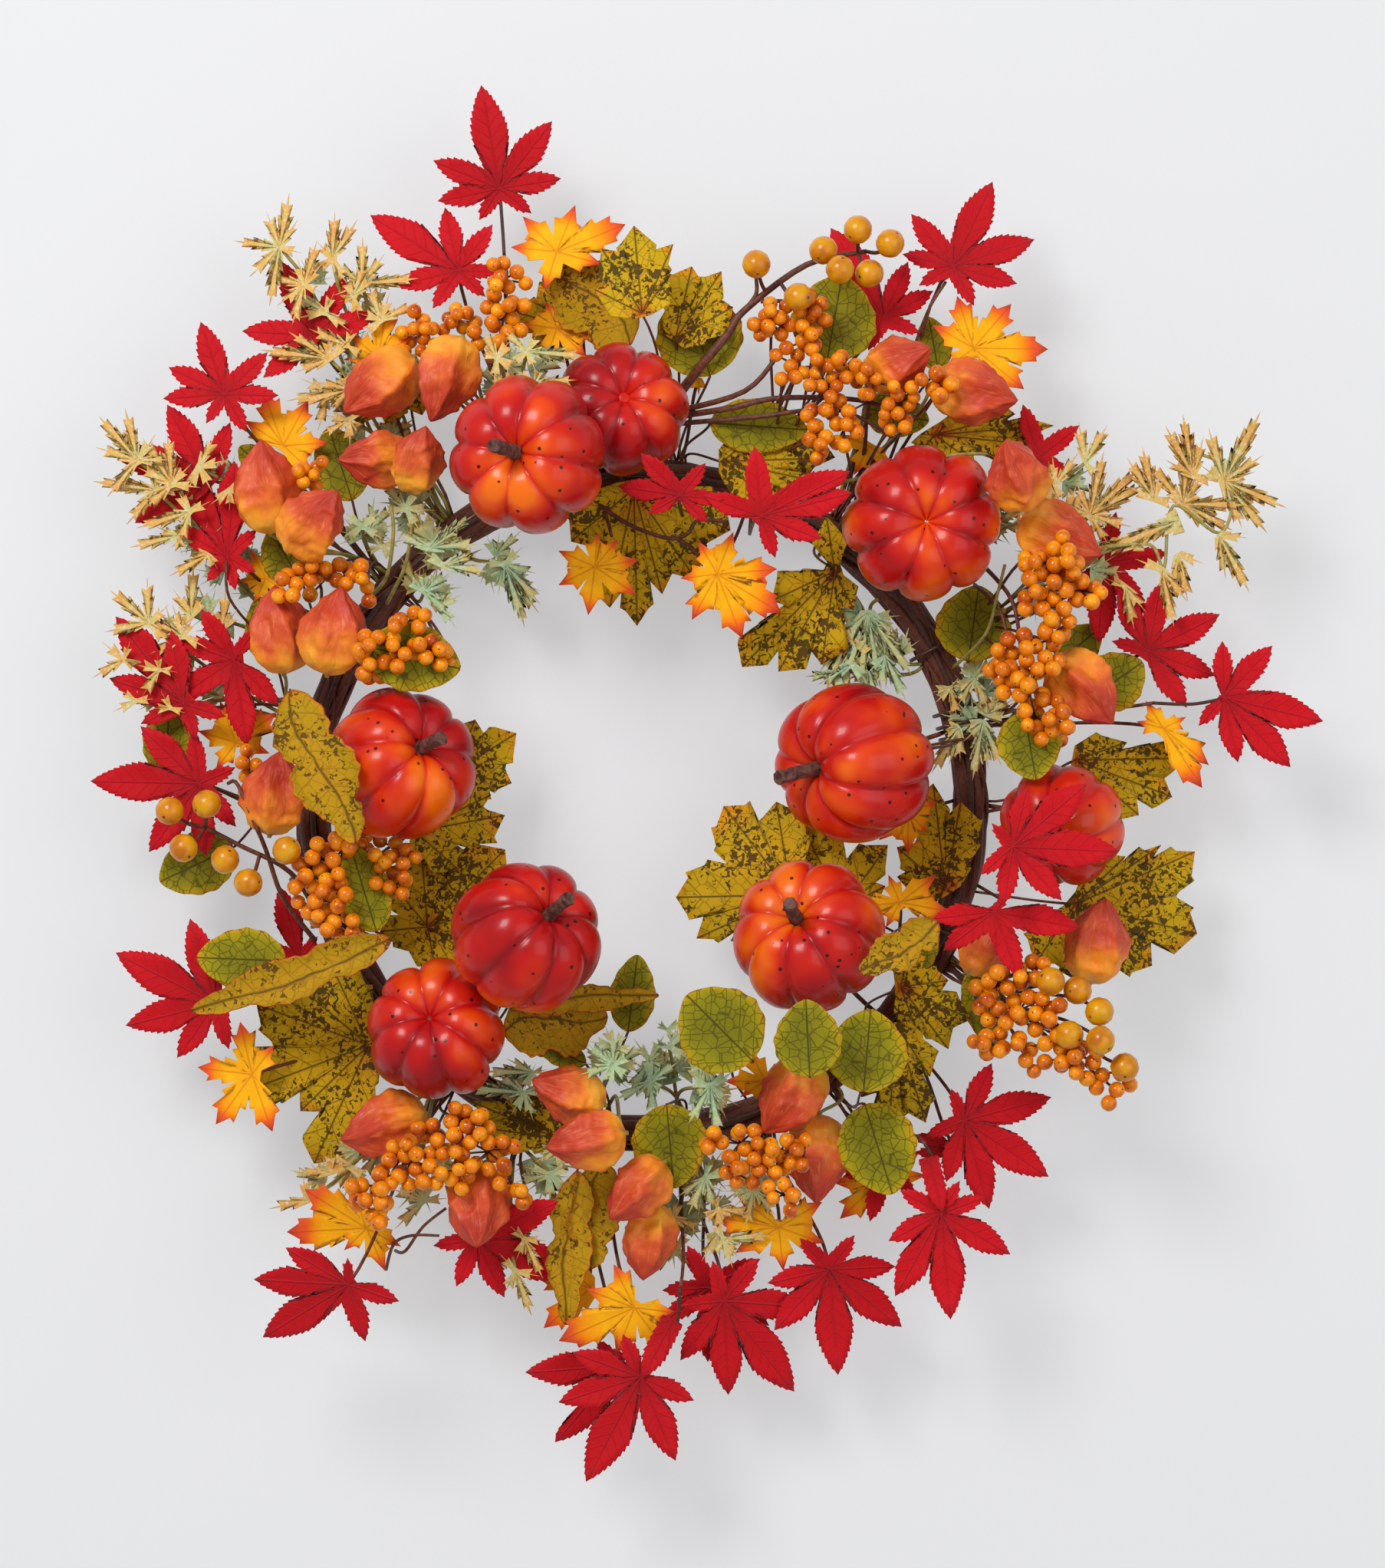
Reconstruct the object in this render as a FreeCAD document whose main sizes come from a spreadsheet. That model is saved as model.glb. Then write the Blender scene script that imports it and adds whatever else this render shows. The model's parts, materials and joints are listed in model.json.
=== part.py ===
import FreeCAD, Part
import math
import os

# Harvest door wreath: a ring of vine canes that carries foam pumpkins, fabric
# leaves, paper lantern pods, berries and frosted sprigs, each on its own wire.
# Millimetres. The origin is where the hook sits inside the hanging loop.
# X is to the right, Z is up and the front faces -Y.

os.makedirs("parts", exist_ok=True)
doc = FreeCAD.newDocument("harvest_wreath")
sheet = doc.addObject("Spreadsheet::Sheet", "Sizes")

driving_sizes = (
    ("ring_radius", 145),
    ("cane_radius", 3.6),
    ("cane_gap", 0.3),
    ("spine_radius", 1.2),
    ("spine_height", 8.1),
    ("wire_radius", 0.5),
    ("wire_hole_clearance", 0.25),
    ("wrap_radius", 0.9),
    ("wrap_ring_radius", 10.4),
    ("leaf_thickness", 0.6),
    ("stack_gap", 0.8),
    ("floor_height", 12.6),
    ("dome_lean", 0.28),
    ("pumpkin_radius", 34),
    ("pumpkin_half_height", 26.5),
    ("pumpkin_lobes", 8),
    ("stem_radius", 3.8),
    ("stem_length", 20),
    ("pod_length", 36),
    ("pod_width", 27),
    ("hanging_drop", 165),
    ("hanging_back", 12.4),
    ("loop_width", 26),
    ("loop_rise", 14),
    ("loop_wire_radius", 1.2),
    ("tube_clearance", 0.06),
    ("tube_wall", 1.4),
    ("tube_length", 14),
    ("saddle_thickness", 1.5),
    ("saddle_height", 8),
    ("saddle_length", 24),
    ("saddle_back", 7.5),
    ("web_height", 7),
    ("large_berry_radius", 6.3),
    ("joint_ball_radius", 1.2),
    ("joint_gap", 0.3),
    ("stalk_radius", 0.7),
)
for row, (alias, number) in enumerate(driving_sizes, start=1):
    sheet.set("A%d" % row, alias)
    sheet.set("B%d" % row, str(number))
    sheet.setAlias("B%d" % row, alias)
doc.recompute()


def size(alias):
    return float(sheet.get(alias))


ring_radius = size("ring_radius")
wire_radius = size("wire_radius")
spine_height = size("spine_height")
leaf_thickness = size("leaf_thickness")
stack_gap = size("stack_gap")
floor_height = size("floor_height")
seat = FreeCAD.Vector(0, -size("hanging_back"), -size("hanging_drop"))
design_ring_radius = 145.0


# ---------------------------------------------------------------- placing
# Places are given from the ring's centre, x to the right and z up, as the
# wreath is seen from the front. A height is a distance in front of the ring's
# middle plane, so a height of 10 is at y = -10 before the whole is hung.

filled = {}
drops = []
runs_used = []


def vector(x, z, height):
    return FreeCAD.Vector(x, -height, z)


def moved(x, z):
    # A larger ring carries every piece outward with it.
    reach = math.hypot(x, z)
    grow = 1.0 + (ring_radius - design_ring_radius) / max(reach, 1.0)
    return x * grow, z * grow


def coveredSquares(outline):
    # The 1 mm squares that an outline covers, with one more all round.
    low = int(math.floor(min(p[1] for p in outline)))
    high = int(math.ceil(max(p[1] for p in outline)))
    squares = set()
    for j in range(low, high + 1):
        crossings = []
        for k, (x1, z1) in enumerate(outline):
            x2, z2 = outline[(k + 1) % len(outline)]
            if (z1 <= j < z2) or (z2 <= j < z1):
                crossings.append(x1 + (j - z1) * (x2 - x1) / (z2 - z1))
        crossings.sort()
        for k in range(0, len(crossings) - 1, 2):
            for i in range(int(math.floor(crossings[k])) - 1, int(math.ceil(crossings[k + 1])) + 2):
                squares.update(((i, j - 1), (i, j), (i, j + 1)))
    for x, z in outline:
        i, j = int(round(x)), int(round(z))
        squares.update((i + di, j + dj) for di in (-1, 0, 1) for dj in (-1, 0, 1))
    return squares


def ellipsoidSpans(x, z, axis, along, across):
    # Back and front of an ellipsoid of revolution over each 1 mm square,
    # measured from its own middle.
    reach = int(math.ceil(max(along, across))) + 1
    spread = 1.0 / across ** 2
    stretch = 1.0 / along ** 2 - spread
    ax, ah, az = axis
    m_hh = spread + stretch * ah * ah
    spans = []
    for i in range(int(round(x)) - reach, int(round(x)) + reach + 1):
        for j in range(int(round(z)) - reach, int(round(z)) + reach + 1):
            dx = math.copysign(max(abs(i - x) - 0.5, 0.0), i - x)
            dz = math.copysign(max(abs(j - z) - 0.5, 0.0), j - z)
            b = stretch * ah * (ax * dx + az * dz)
            c = spread * (dx * dx + dz * dz) + stretch * (ax * dx + az * dz) ** 2 - 1.0
            root = b * b - m_hh * c
            if root >= 0:
                root = math.sqrt(root)
                spans.append(((i, j), (-b - root) / m_hh, (-b + root) / m_hh))
    return spans


def freeHeight(spans, wanted, gap):
    # The height nearest the wanted one at which the piece meets no other.
    lowest = max(floor_height - back for square, back, front in spans)
    barred = [(-1.0e6, lowest)]
    for square, back, front in spans:
        for low, high, kind in filled.get(square, ()):
            barred.append((low - front - gap, high - back + gap))
    barred.sort()
    merged = []
    for low, high in barred:
        if merged and low <= merged[-1][1]:
            merged[-1][1] = max(merged[-1][1], high)
        else:
            merged.append([low, high])
    for low, high in merged:
        if low < wanted < high:
            if low > lowest and wanted - low < high - wanted:
                return low
            return high
    return wanted


def fill(spans, height, kind):
    for square, back, front in spans:
        filled.setdefault(square, []).append((height + back, height + front, kind))


def leanAt(x, z, turn):
    # Pieces outside the ring lean out over its edge and pieces inside lean in,
    # each a little differently, so that the wreath is a dome and not a stack.
    reach = max(math.hypot(x, z), 1.0)
    amount = max(-1.0, min(1.0, (reach - ring_radius) / 100.0)) * size("dome_lean")
    slope_x = -amount * x / reach + 0.05 * math.sin(turn * 2.4)
    slope_z = -amount * z / reach + 0.05 * math.cos(turn * 1.7)
    return slope_x, slope_z


# ------------------------------------------------------------------ wires

wrap_turns = (12, 14.2, 16.6, 28, 52, 54.5, 113, 150, 198, 200.5, 247, 292, 294.5, 337)
saddle_turns = (86.4, 93.6)


def azimuthIsFree(x, z):
    reach = math.hypot(x, z)
    angle = math.atan2(z, x)
    inner = reach < ring_radius
    for turn in wrap_turns + saddle_turns:
        if abs(math.remainder(angle - math.radians(turn), 2 * math.pi)) < 0.014:
            return False
    for used_angle, used_inner, used_reach in runs_used:
        near = min(reach, used_reach, ring_radius)
        off = abs(math.remainder(angle - used_angle, 2 * math.pi))
        if used_inner == inner and off * near < 2 * wire_radius + 0.2:
            return False
    return True


def columnIsOpen(i, j, low, high):
    for di in (-1, 0, 1):
        for dj in (-1, 0, 1):
            for back, front, kind in filled.get((i + di, j + dj), ()):
                if kind != "plate" and back < high and front > low:
                    return False
    return True


def pathIsOpen(x, z, i, j, height, slope):
    steps = max(int(math.hypot(i - x, j - z) * 1.5), 1)
    for k in range(steps + 1):
        px = x + (i - x) * k / steps
        pz = z + (j - z) * k / steps
        level = height + slope[0] * (px - x) + slope[1] * (pz - z)
        for di in (0, 1):
            for dj in (0, 1):
                square = (int(math.floor(px)) + di, int(math.floor(pz)) + dj)
                for back, front, kind in filled.get(square, ()):
                    if back < level + wire_radius + 0.1 and front > level - wire_radius - 0.1:
                        return False
    return True


def findDrop(x, z, height, slope=(0.0, 0.0), reach=14):
    # The nearest square where a wire can go straight back to the ring.
    spots = []
    for i in range(int(x) - reach, int(x) + reach + 1):
        for j in range(int(z) - reach, int(z) + reach + 1):
            away = math.hypot(i - x, j - z)
            if away <= reach:
                spots.append((away, i, j))
    spots.sort()
    for away, i, j in spots:
        if abs(math.hypot(i, j) - ring_radius) < 2.5:
            continue
        if not azimuthIsFree(i, j):
            continue
        if not columnIsOpen(i, j, spine_height, height - 1.0):
            continue
        if away > 0.8 and not pathIsOpen(x, z, i, j, height, slope):
            continue
        return i, j
    return None


def wirePoints(x, z, height, spot, slope=(0.0, 0.0)):
    # Back from the piece to the level of the spine, then straight to it.
    i, j = spot
    reach = math.hypot(i, j)
    side = 1.0 if reach > ring_radius else -1.0
    landing = (ring_radius + side * (size("spine_radius") + 0.02)) / reach
    points = []
    if math.hypot(i - x, j - z) > 0.8:
        points.append(vector(x, z, height))
    else:
        slope = (0.0, 0.0)
    top = height + slope[0] * (i - x) + slope[1] * (j - z)
    points.append(vector(i, j, top))
    points.append(vector(i, j, spine_height))
    points.append(vector(i * landing, j * landing, spine_height))
    runs_used.append((math.atan2(j, i), side < 0, reach))
    drops.append((i, j, spine_height, top))
    filled.setdefault((i, j), []).append((spine_height, top, "wire"))
    steps = max(int(math.hypot(i - x, j - z)), 1)
    for k in range(1, steps):
        px = x + (i - x) * k / steps
        pz = z + (j - z) * k / steps
        level = height + slope[0] * (px - x) + slope[1] * (pz - z)
        square = (int(round(px)), int(round(pz)))
        filled.setdefault(square, []).append((level - wire_radius, level + wire_radius, "wire"))
    return points


def bentWire(points, radius):
    # A round wire through the points, with a ball at each bend.
    pieces = []
    for first, last in zip(points, points[1:]):
        way = last.sub(first)
        if way.Length > 0.05:
            pieces.append(Part.makeCylinder(radius, way.Length, first, way))
    for point in points[1:-1]:
        pieces.append(Part.makeSphere(radius, point))
    if len(pieces) == 1:
        return pieces[0]
    whole = pieces[0].multiFuse(pieces[1:])
    return whole.Solids[0] if whole.Solids else whole


# ----------------------------------------------------------------- layout
# Each line is one piece, in the order it is laid, from the back to the front.
# A leaf is (kind, where its lobes meet, the tips of its lobes). A round or rolled
# leaf is (kind, base, turn in degrees, length, width). A pod is (kind, middle,
# turn of its tip, how far the tip turns to the front, scale, wanted height).

back_pieces = (
    ("speckled", (-3, 137), ((-31, 115), (-14, 86), (-2, 78), (9, 92), (24, 98), (39, 120))),
    ("speckled", (85, 102), ((57, 89), (44, 60), (60, 58), (79, 61), (93, 85), (81, 126))),
    ("speckled", (32, 150), ((85, 152), (79, 141), (60, 129), (48, 161))),
    ("speckled", (124, 163), ((164, 171), (181, 166), (178, 157), (146, 149), (120, 152))),
    ("speckled", (184, 22), ((213, 27), (240, 20), (233, 3), (218, -5))),
    ("speckled", (182, -42), ((212, -23), (228, -18), (243, -21), (244, -57), (224, -71), (195, -80),
         (172, -70))),
    ("speckled", (68, -40), ((59, 1), (36, -1), (15, -41), (24, -59), (39, -60))),
    ("speckled", (88, -46), ((70, -8), (108, -18), (107, -36))),
    ("speckled", (134, -38), ((128, 9), (140, 1), (112, -19), (112, -32))),
    ("speckled", (-82, 14), ((-73, 37), (-55, 31), (-57, 9), (-66, 2))),
    ("speckled", (-100, -12), ((-66, 4), (-60, -5), (-80, -29))),
    ("speckled", (-94, -54), ((-97, -16), (-60, -20), (-63, -45), (-66, -72), (-90, -76), (-115, -56),
         (-111, -33))),
    ("speckled", (-116, -107), ((-136, -71), (-154, -77), (-169, -88), (-176, -127), (-150, -135),
         (-144, -158))),
    ("speckled", (-25, 207), ((-45, 229), (-57, 216), (-50, 200))),
    ("speckled", (-104, 196), ((-128, 198), (-126, 165), (-112, 166), (-96, 170))),
    ("speckled", (-40, -143), ((-76, -130), (-60, -128), (-70, -142))),
    ("orange", (-157, 157), ((-166, 181), (-146, 177), (-137, 158), (-144, 145), (-174, 168))),
    ("orange", (100, 157), ((87, 162), (93, 144), (110, 149))),
    ("orange", (117, -4), ((123, 12), (130, 1), (126, -13), (117, -22), (104, -16))),
    ("orange", (-178, 27), ((-195, 32), (-187, 15), (-163, 22), (-160, 40), (-185, 45))),
    ("orange", (-165, 99), ((-177, 98), (-170, 88), (-155, 92), (-172, 112))),
    ("orange", (-22, -212), ((-43, -230), (-46, -207), (-38, -199))),
    ("orange", (22, 190), ((14, 184), (25, 179), (30, 186))),
    ("orange", (105, -165), ((87, -182), (84, -166), (102, -174), (125, -163), (122, -152))),
    ("red", (-143, 205), ((-158, 238), (-175, 207), (-165, 186), (-115, 214), (-129, 231))),
    ("red", (-190, 142), ((-208, 175), (-180, 167), (-232, 155), (-222, 123), (-212, 138))),
    ("red", (203, 106), ((200, 70), (221, 83), (231, 110), (221, 117), (208, 128), (186, 88))),
    ("red", (106, 213), ((83, 253), (117, 238), (128, 225), (122, 206), (99, 198))),
    ("red", (174, 152), ((167, 175), (192, 166), (190, 141), (176, 120), (157, 155))),
    ("red", (106, -160), ((100, -183), (88, -163), (120, -170))),
    ("red", (-150, -68), ((-159, -36), (-168, -62), (-142, -58))),
    ("red", (30, -212), ((29, -245), (9, -227), (9, -213), (20, -193), (56, -229), (52, -199))),
    ("red", (-10, -245), ((-51, -249), (-38, -280), (-28, -262), (-20, -234))),
    ("red", (140, -152), ((119, -145), (120, -153), (131, -158))),
    ("round", (130, 190), 100, 24, 16),
    ("round", (183, 62), 40, 24, 18),
    ("round", (-127, 133), 108, 34, 24),
    ("round", (-165, 147), 140, 15, 12),
    ("round", (-197, 28), 178, 22, 32),
    ("round", (-179, -19), 205, 36, 27),
    ("round", (141, -73), 285, 36, 18),
    ("round", (-150, 98), 120, 26, 22),
    ("round", (-160, 60), 105, 32, 20),
    ("round", (128, -50), 250, 28, 14),
    ("round", (-6, -100), 83, 34, 20),
    ("round", (97, 172), 335, 30, 20),
    ("round", (30, 167), 356, 43, 24),
    ("round", (148, 96), 262, 34, 33),
    ("frosted", (-60, 105), ((-44, 87), (-53, 81), (-46, 101), (-52, 113), (-72, 106))),
    ("frosted", (99, 84), ((89, 54), (96, 50), (105, 50), (119, 56), (88, 70), (112, 72))),
    ("frosted", (107, 66), ((116, 45), (105, 50), (98, 56))),
    ("frosted", (92, 62), ((77, 52), (84, 57), (100, 52))),
    ("frosted", (146, 55), ((135, 49), (138, 42), (153, 40), (152, 60))),
    ("frosted", (150, 36), ((141, 27), (140, 34), (152, 15), (145, 10), (158, 16))),
)

pumpkins = (
    # name, middle, radius scale, way its stem end points (x, forward, z), stem in sight, wanted height
    ("pumpkin_2", (-9, 171), 0.86, (-0.1, -1.0, -0.25), False, 42),
    ("pumpkin_1", (-48, 149), 1.0, (-0.22, 1.0, 0.0), True, 58),
    ("pumpkin_3", (122, 122), 1.02, (-0.05, -1.0, 0.03), False, 46),
    ("pumpkin_9", (-104, 17), 0.98, (0.45, 0.8, 0.33), True, 46),
    ("pumpkin_4", (92, 18), 1.04, (-0.72, 0.66, -0.12), True, 48),
    ("pumpkin_8", (-89, -98), 0.9, (0.05, -1.0, -0.15), False, 46),
    ("pumpkin_7", (-49, -57), 0.97, (0.52, 0.8, 0.5), True, 52),
    ("pumpkin_6", (72, -57), 0.98, (-0.25, 0.9, 0.38), True, 46),
    ("pumpkin_5", (183, -9), 0.8, (0.3, -0.8, 0.3), False, 42),
)

middle_pieces = (
    ("speckled", (3, 197), ((-3, 250), (14, 242), (13, 229), (-17, 240), (-20, 222))),
    ("speckled", (15, 203), ((22, 235), (35, 233), (40, 217))),
    ("rolled", (-5, 200), 133, 52, 22),
    ("speckled", (113, -80), ((118, -61), (134, -77), (144, -94), (134, -107), (122, -104))),
    ("speckled", (112, -96), ((126, -119), (124, -139), (108, -143), (96, -128))),
    ("rolled", (-150, 49), 293, 72, 19),
    ("rolled", (-108, -58), 200, 92, 13),
    ("rolled", (-60, -100), 10, 46, 20),
    ("rolled", (-58, -88), 4, 66, 8),
    ("rolled", (-28, -160), 266, 68, 13),
    ("rolled", (-17, -156), 263, 48, 15),
    ("rolled", (127, -50), 213, 40, 12),
    ("orange", (-37, 241), ((-29, 262), (-7, 253), (-17, 235), (-42, 224), (-57, 243), (-52, 257))),
    ("orange", (-37, 208), ((-42, 220), (-27, 221), (-18, 204), (-24, 195), (-42, 194), (-53, 210))),
    ("orange", (-115, 195), ((-111, 217), (-100, 204), (-127, 205), (-130, 194))),
    ("orange", (145, 199), ((138, 222), (162, 219), (178, 199), (167, 181), (133, 190), (127, 209))),
    ("orange", (-20, 103), ((-36, 110), (-19, 118), (-10, 115), (-1, 106), (-2, 91), (-23, 82),
         (-36, 95))),
    ("orange", (33, 100), ((40, 118), (25, 114), (59, 102), (61, 83), (44, 72), (22, 80), (17, 98))),
    ("orange", (113, -43), ((108, -31), (129, -31), (135, -47), (107, -54), (88, -46))),
    ("orange", (228, 33), ((220, 45), (238, 38), (248, 17), (245, 7), (216, 36))),
    ("orange", (-170, -118), ((-175, -95), (-194, -115), (-186, -140), (-161, -143), (-160, -105))),
    ("orange", (-120, -185), ((-127, -165), (-147, -168), (-155, -187), (-130, -195), (-112, -204),
         (-105, -193), (-109, -174))),
    ("orange", (-3, -219), ((-36, -234), (-11, -240), (12, -240), (15, -221), (-12, -200),
         (-24, -211))),
    ("orange", (60, -185), ((79, -174), (80, -192), (62, -204), (41, -196), (31, -180), (42, -171))),
    ("orange", (54, -121), ((47, -107), (36, -121), (43, -128), (64, -114))),
    ("red", (-80, 233), ((-119, 258), (-86, 261), (-65, 253), (-62, 232), (-68, 221), (-91, 216),
         (-108, 226))),
    ("red", (-182, 179), ((-193, 211), (-207, 191), (-209, 177), (-190, 166), (-172, 162),
         (-158, 178), (-163, 197))),
    ("red", (136, 235), ((154, 273), (172, 247), (164, 227), (145, 217), (121, 226), (114, 240),
         (118, 258))),
    ("red", (17, 133), ((0, 151), (28, 147), (-10, 137), (3, 125), (29, 121), (36, 131))),
    ("red", (52, 124), ((49, 154), (90, 143), (91, 134), (78, 114), (58, 106), (27, 133))),
    ("red", (221, 67), ((253, 83), (251, 56), (238, 42), (205, 71), (208, 94), (227, 97))),
    ("red", (-181, 108), ((-201, 148), (-178, 150), (-203, 121), (-190, 97), (-177, 93), (-168, 101),
         (-168, 120))),
    ("red", (-200, 44), ((-230, 82), (-205, 76), (-233, 55), (-219, 35), (-194, 28), (-181, 38))),
    ("red", (-178, 63), ((-192, 85), (-168, 77), (-158, 43), (-172, 25), (-205, 45), (-203, 72))),
    ("red", (-193, 9), ((-241, 10), (-219, 34), (-196, 32), (-177, 16), (-215, -21), (-190, -23),
         (-177, -10))),
    ("red", (-186, -87), ((-230, -65), (-197, -50), (-226, -97), (-203, -111), (-180, -107))),
    ("red", (-72, -190), ((-27, -207), (-36, -173), (-60, -216), (-81, -211), (-91, -193))),
    ("red", (82, -203), ((86, -250), (114, -229), (111, -202), (93, -188), (69, -189), (55, -209),
         (58, -230))),
    ("red", (141, -138), ((152, -177), (178, -163), (179, -128), (153, -113), (135, -124),
         (124, -145), (133, -165))),
    ("red", (36, -217), ((38, -259), (67, -258), (74, -220), (51, -198), (31, -199), (17, -219),
         (17, -243))),
    ("round", (30, 187), 105, 40, 38),
    ("round", (81, 193), 80, 39, 37),
    ("round", (165, 40), 280, 30, 28),
    ("round", (196, 46), 35, 28, 26),
    ("round", (-119, 56), 8, 42, 28),
    ("round", (-154, -68), 178, 39, 27),
    ("round", (-117, -56), 96, 40, 22),
    ("round", (48, -110), 135, 40, 38),
    ("round", (86, -99), 183, 29, 33),
    ("round", (99, -88), 265, 36, 35),
    ("round", (97, -130), 287, 41, 34),
    ("round", (11, -131), 275, 37, 33),
    ("round", (-47, -103), 335, 25, 12),
    ("frosted", (-158, 243), ((-178, 246), (-164, 259), (-154, 267), (-150, 255), (-171, 230),
         (-162, 217), (-148, 240))),
    ("frosted", (-135, 238), ((-134, 259), (-124, 255), (-142, 246), (-143, 232), (-128, 226))),
    ("frosted", (-122, 227), ((-97, 229), (-112, 240), (-122, 248), (-134, 236), (-134, 222))),
    ("frosted", (-138, 215), ((-157, 226), (-151, 212), (-127, 206), (-134, 224))),
    ("frosted", (-136, 194), ((-166, 198), (-154, 206), (-137, 205), (-127, 203), (-151, 188))),
    ("frosted", (-137, 180), ((-155, 176), (-149, 186), (-141, 163), (-130, 170), (-126, 186))),
    ("frosted", (-62, 192), ((-68, 205), (-55, 201), (-70, 194), (-63, 180), (-52, 186))),
    ("frosted", (-49, 195), ((-60, 205), (-44, 204), (-24, 193), (-45, 186), (-57, 188))),
    ("frosted", (-220, 150), ((-226, 173), (-238, 170), (-239, 156), (-212, 161), (-205, 150),
         (-233, 134))),
    ("frosted", (-212, 137), ((-240, 141), (-225, 122), (-198, 137), (-213, 152))),
    ("frosted", (-193, 147), ((-186, 161), (-181, 150), (-199, 135), (-187, 136))),
    ("frosted", (-203, 117), ((-224, 112), (-212, 121), (-200, 108))),
    ("frosted", (-215, 79), ((-233, 94), (-216, 99), (-206, 87), (-235, 75), (-205, 69))),
    ("frosted", (-226, 63), ((-240, 55), (-236, 71), (-223, 71), (-219, 58))),
    ("frosted", (-197, 82), ((-196, 105), (-205, 94), (-190, 92), (-208, 76))),
    ("frosted", (-221, 45), ((-231, 40), (-228, 50), (-212, 46))),
    ("frosted", (-103, 129), ((-113, 141), (-97, 139), (-89, 128), (-96, 118), (-115, 127))),
    ("frosted", (-122, 121), ((-130, 128), (-113, 128), (-130, 114), (-112, 115))),
    ("frosted", (-92, 111), ((-72, 126), (-70, 113), (-78, 121), (-106, 117))),
    ("frosted", (-95, 93), ((-83, 101), (-83, 81), (-95, 103), (-104, 99))),
    ("frosted", (196, 126), ((178, 131), (202, 154), (218, 147), (220, 140), (214, 121), (204, 113),
         (190, 140))),
    ("frosted", (194, 149), ((204, 166), (191, 167), (188, 150), (200, 142))),
    ("frosted", (178, 138), ((178, 150), (174, 128), (184, 130))),
    ("frosted", (-12, -113), ((-27, -117), (-24, -103), (-12, -98), (-3, -107), (-15, -123),
         (-4, -119))),
    ("frosted", (4, -121), ((-13, -130), (5, -137), (11, -126), (17, -112), (2, -107))),
    ("frosted", (30, -122), ((41, -115), (20, -139), (34, -144), (38, -131), (19, -119))),
    ("frosted", (12, -106), ((4, -104), (20, -96), (22, -112))),
    ("frosted", (-51, -126), ((-76, -124), (-64, -118), (-47, -139), (-43, -125), (-57, -136))),
    ("frosted", (-40, -162), ((-55, -165), (-52, -158), (-30, -157), (-31, -171), (-40, -176))),
    ("frosted", (-95, -173), ((-110, -168), (-108, -186), (-90, -161), (-84, -172), (-98, -162))),
    ("frosted", (-146, -173), ((-163, -177), (-148, -161), (-136, -164))),
    ("frosted", (-128, -158), ((-142, -157), (-138, -153), (-118, -165))),
    ("frosted", (-55, -204), ((-48, -224), (-60, -214), (-44, -206), (-62, -196))),
    ("frosted", (28, -163), ((15, -172), (30, -154), (20, -180), (38, -160), (32, -178))),
    ("frosted", (49, -168), ((35, -169), (59, -180), (45, -186), (40, -176), (58, -166))),
    ("frosted", (36, -190), ((29, -197), (40, -203), (58, -188), (31, -181), (44, -196))),
    ("frosted", (15, -195), ((4, -205), (28, -208), (12, -186), (22, -186))),
)

front_pieces = (
    ("red", (-126, -207), ((-167, -205), (-164, -231), (-119, -232), (-104, -214), (-153, -191),
         (-126, -195))),
    ("red", (159, -18), ((191, 9), (205, -20), (180, -41), (155, -43), (145, -30), (150, -8),
         (165, 7))),
    ("red", (152, -46), ((163, -75), (189, -53), (158, -39), (125, -49), (130, -63))),
)
pods = (
    ("pod", (-114, 182), 220, 10, 1.0, 44),
    ("pod", (-84, 183), 250, 10, 1.02, 45),
    ("pod", (-116, 150), 182, 20, 0.85, 40),
    ("pod", (-96, 149), 75, 25, 0.8, 48),
    ("pod", (-163, 138), 95, 10, 1.06, 42),
    ("pod", (-141, 122), 50, 25, 0.95, 50),
    ("pod", (-157, 76), 95, 10, 1.0, 44),
    ("pod", (-132, 75), 80, 10, 1.0, 50),
    ("pod", (-159, 5), 82, 10, 0.95, 42),
    ("pod", (112, 191), 25, 30, 0.88, 42),
    ("pod", (145, 178), 350, 10, 0.98, 42),
    ("pod", (161, 142), 110, 35, 0.92, 46),
    ("pod", (182, 115), 338, 10, 1.0, 44),
    ("pod", (192, 49), 310, 15, 1.0, 50),
    ("pod", (198, -59), 80, 10, 0.98, 46),
    ("pod", (151, -61), 60, 15, 0.78, 30),
    ("pod", (-112, -141), 195, 10, 1.02, 46),
    ("pod", (-71, -175), 270, 30, 1.0, 44),
    ("pod", (-32, -125), 160, 10, 0.86, 44),
    ("pod", (-24, -145), 190, 10, 0.9, 46),
    ("pod", (-2, -168), 225, 20, 0.9, 46),
    ("pod", (3, -191), 262, 10, 0.88, 40),
    ("pod", (65, -128), 230, 10, 1.0, 46),
    ("pod", (77, -155), 268, 10, 1.0, 44),
)

wanted_heights = {
    # pieces that lie over a pumpkin or stand out in front of the rest
    (165, 40): 60, (-119, 56): 62, (-150, 49): 50, (86, -99): 66, (48, -110): 64, (99, -88): 62,
    (127, -50): 66, (-62, 192): 56, (-49, 195): 60, (-92, 111): 40, (-60, -100): 46, (-58, -88): 60,
    (17, 133): 48, (52, 124): 52, (159, -18): 82, (152, -46): 66, (-108, -58): 52, (-154, -68): 44,
    (30, 187): 36, (-20, 103): 40, (33, 100): 40, (-12, -113): 50, (30, -122): 50, (-117, -56): 44,
    (97, -130): 44, (11, -131): 30, (113, -43): 22, (-113, -43): 30,
}

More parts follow.
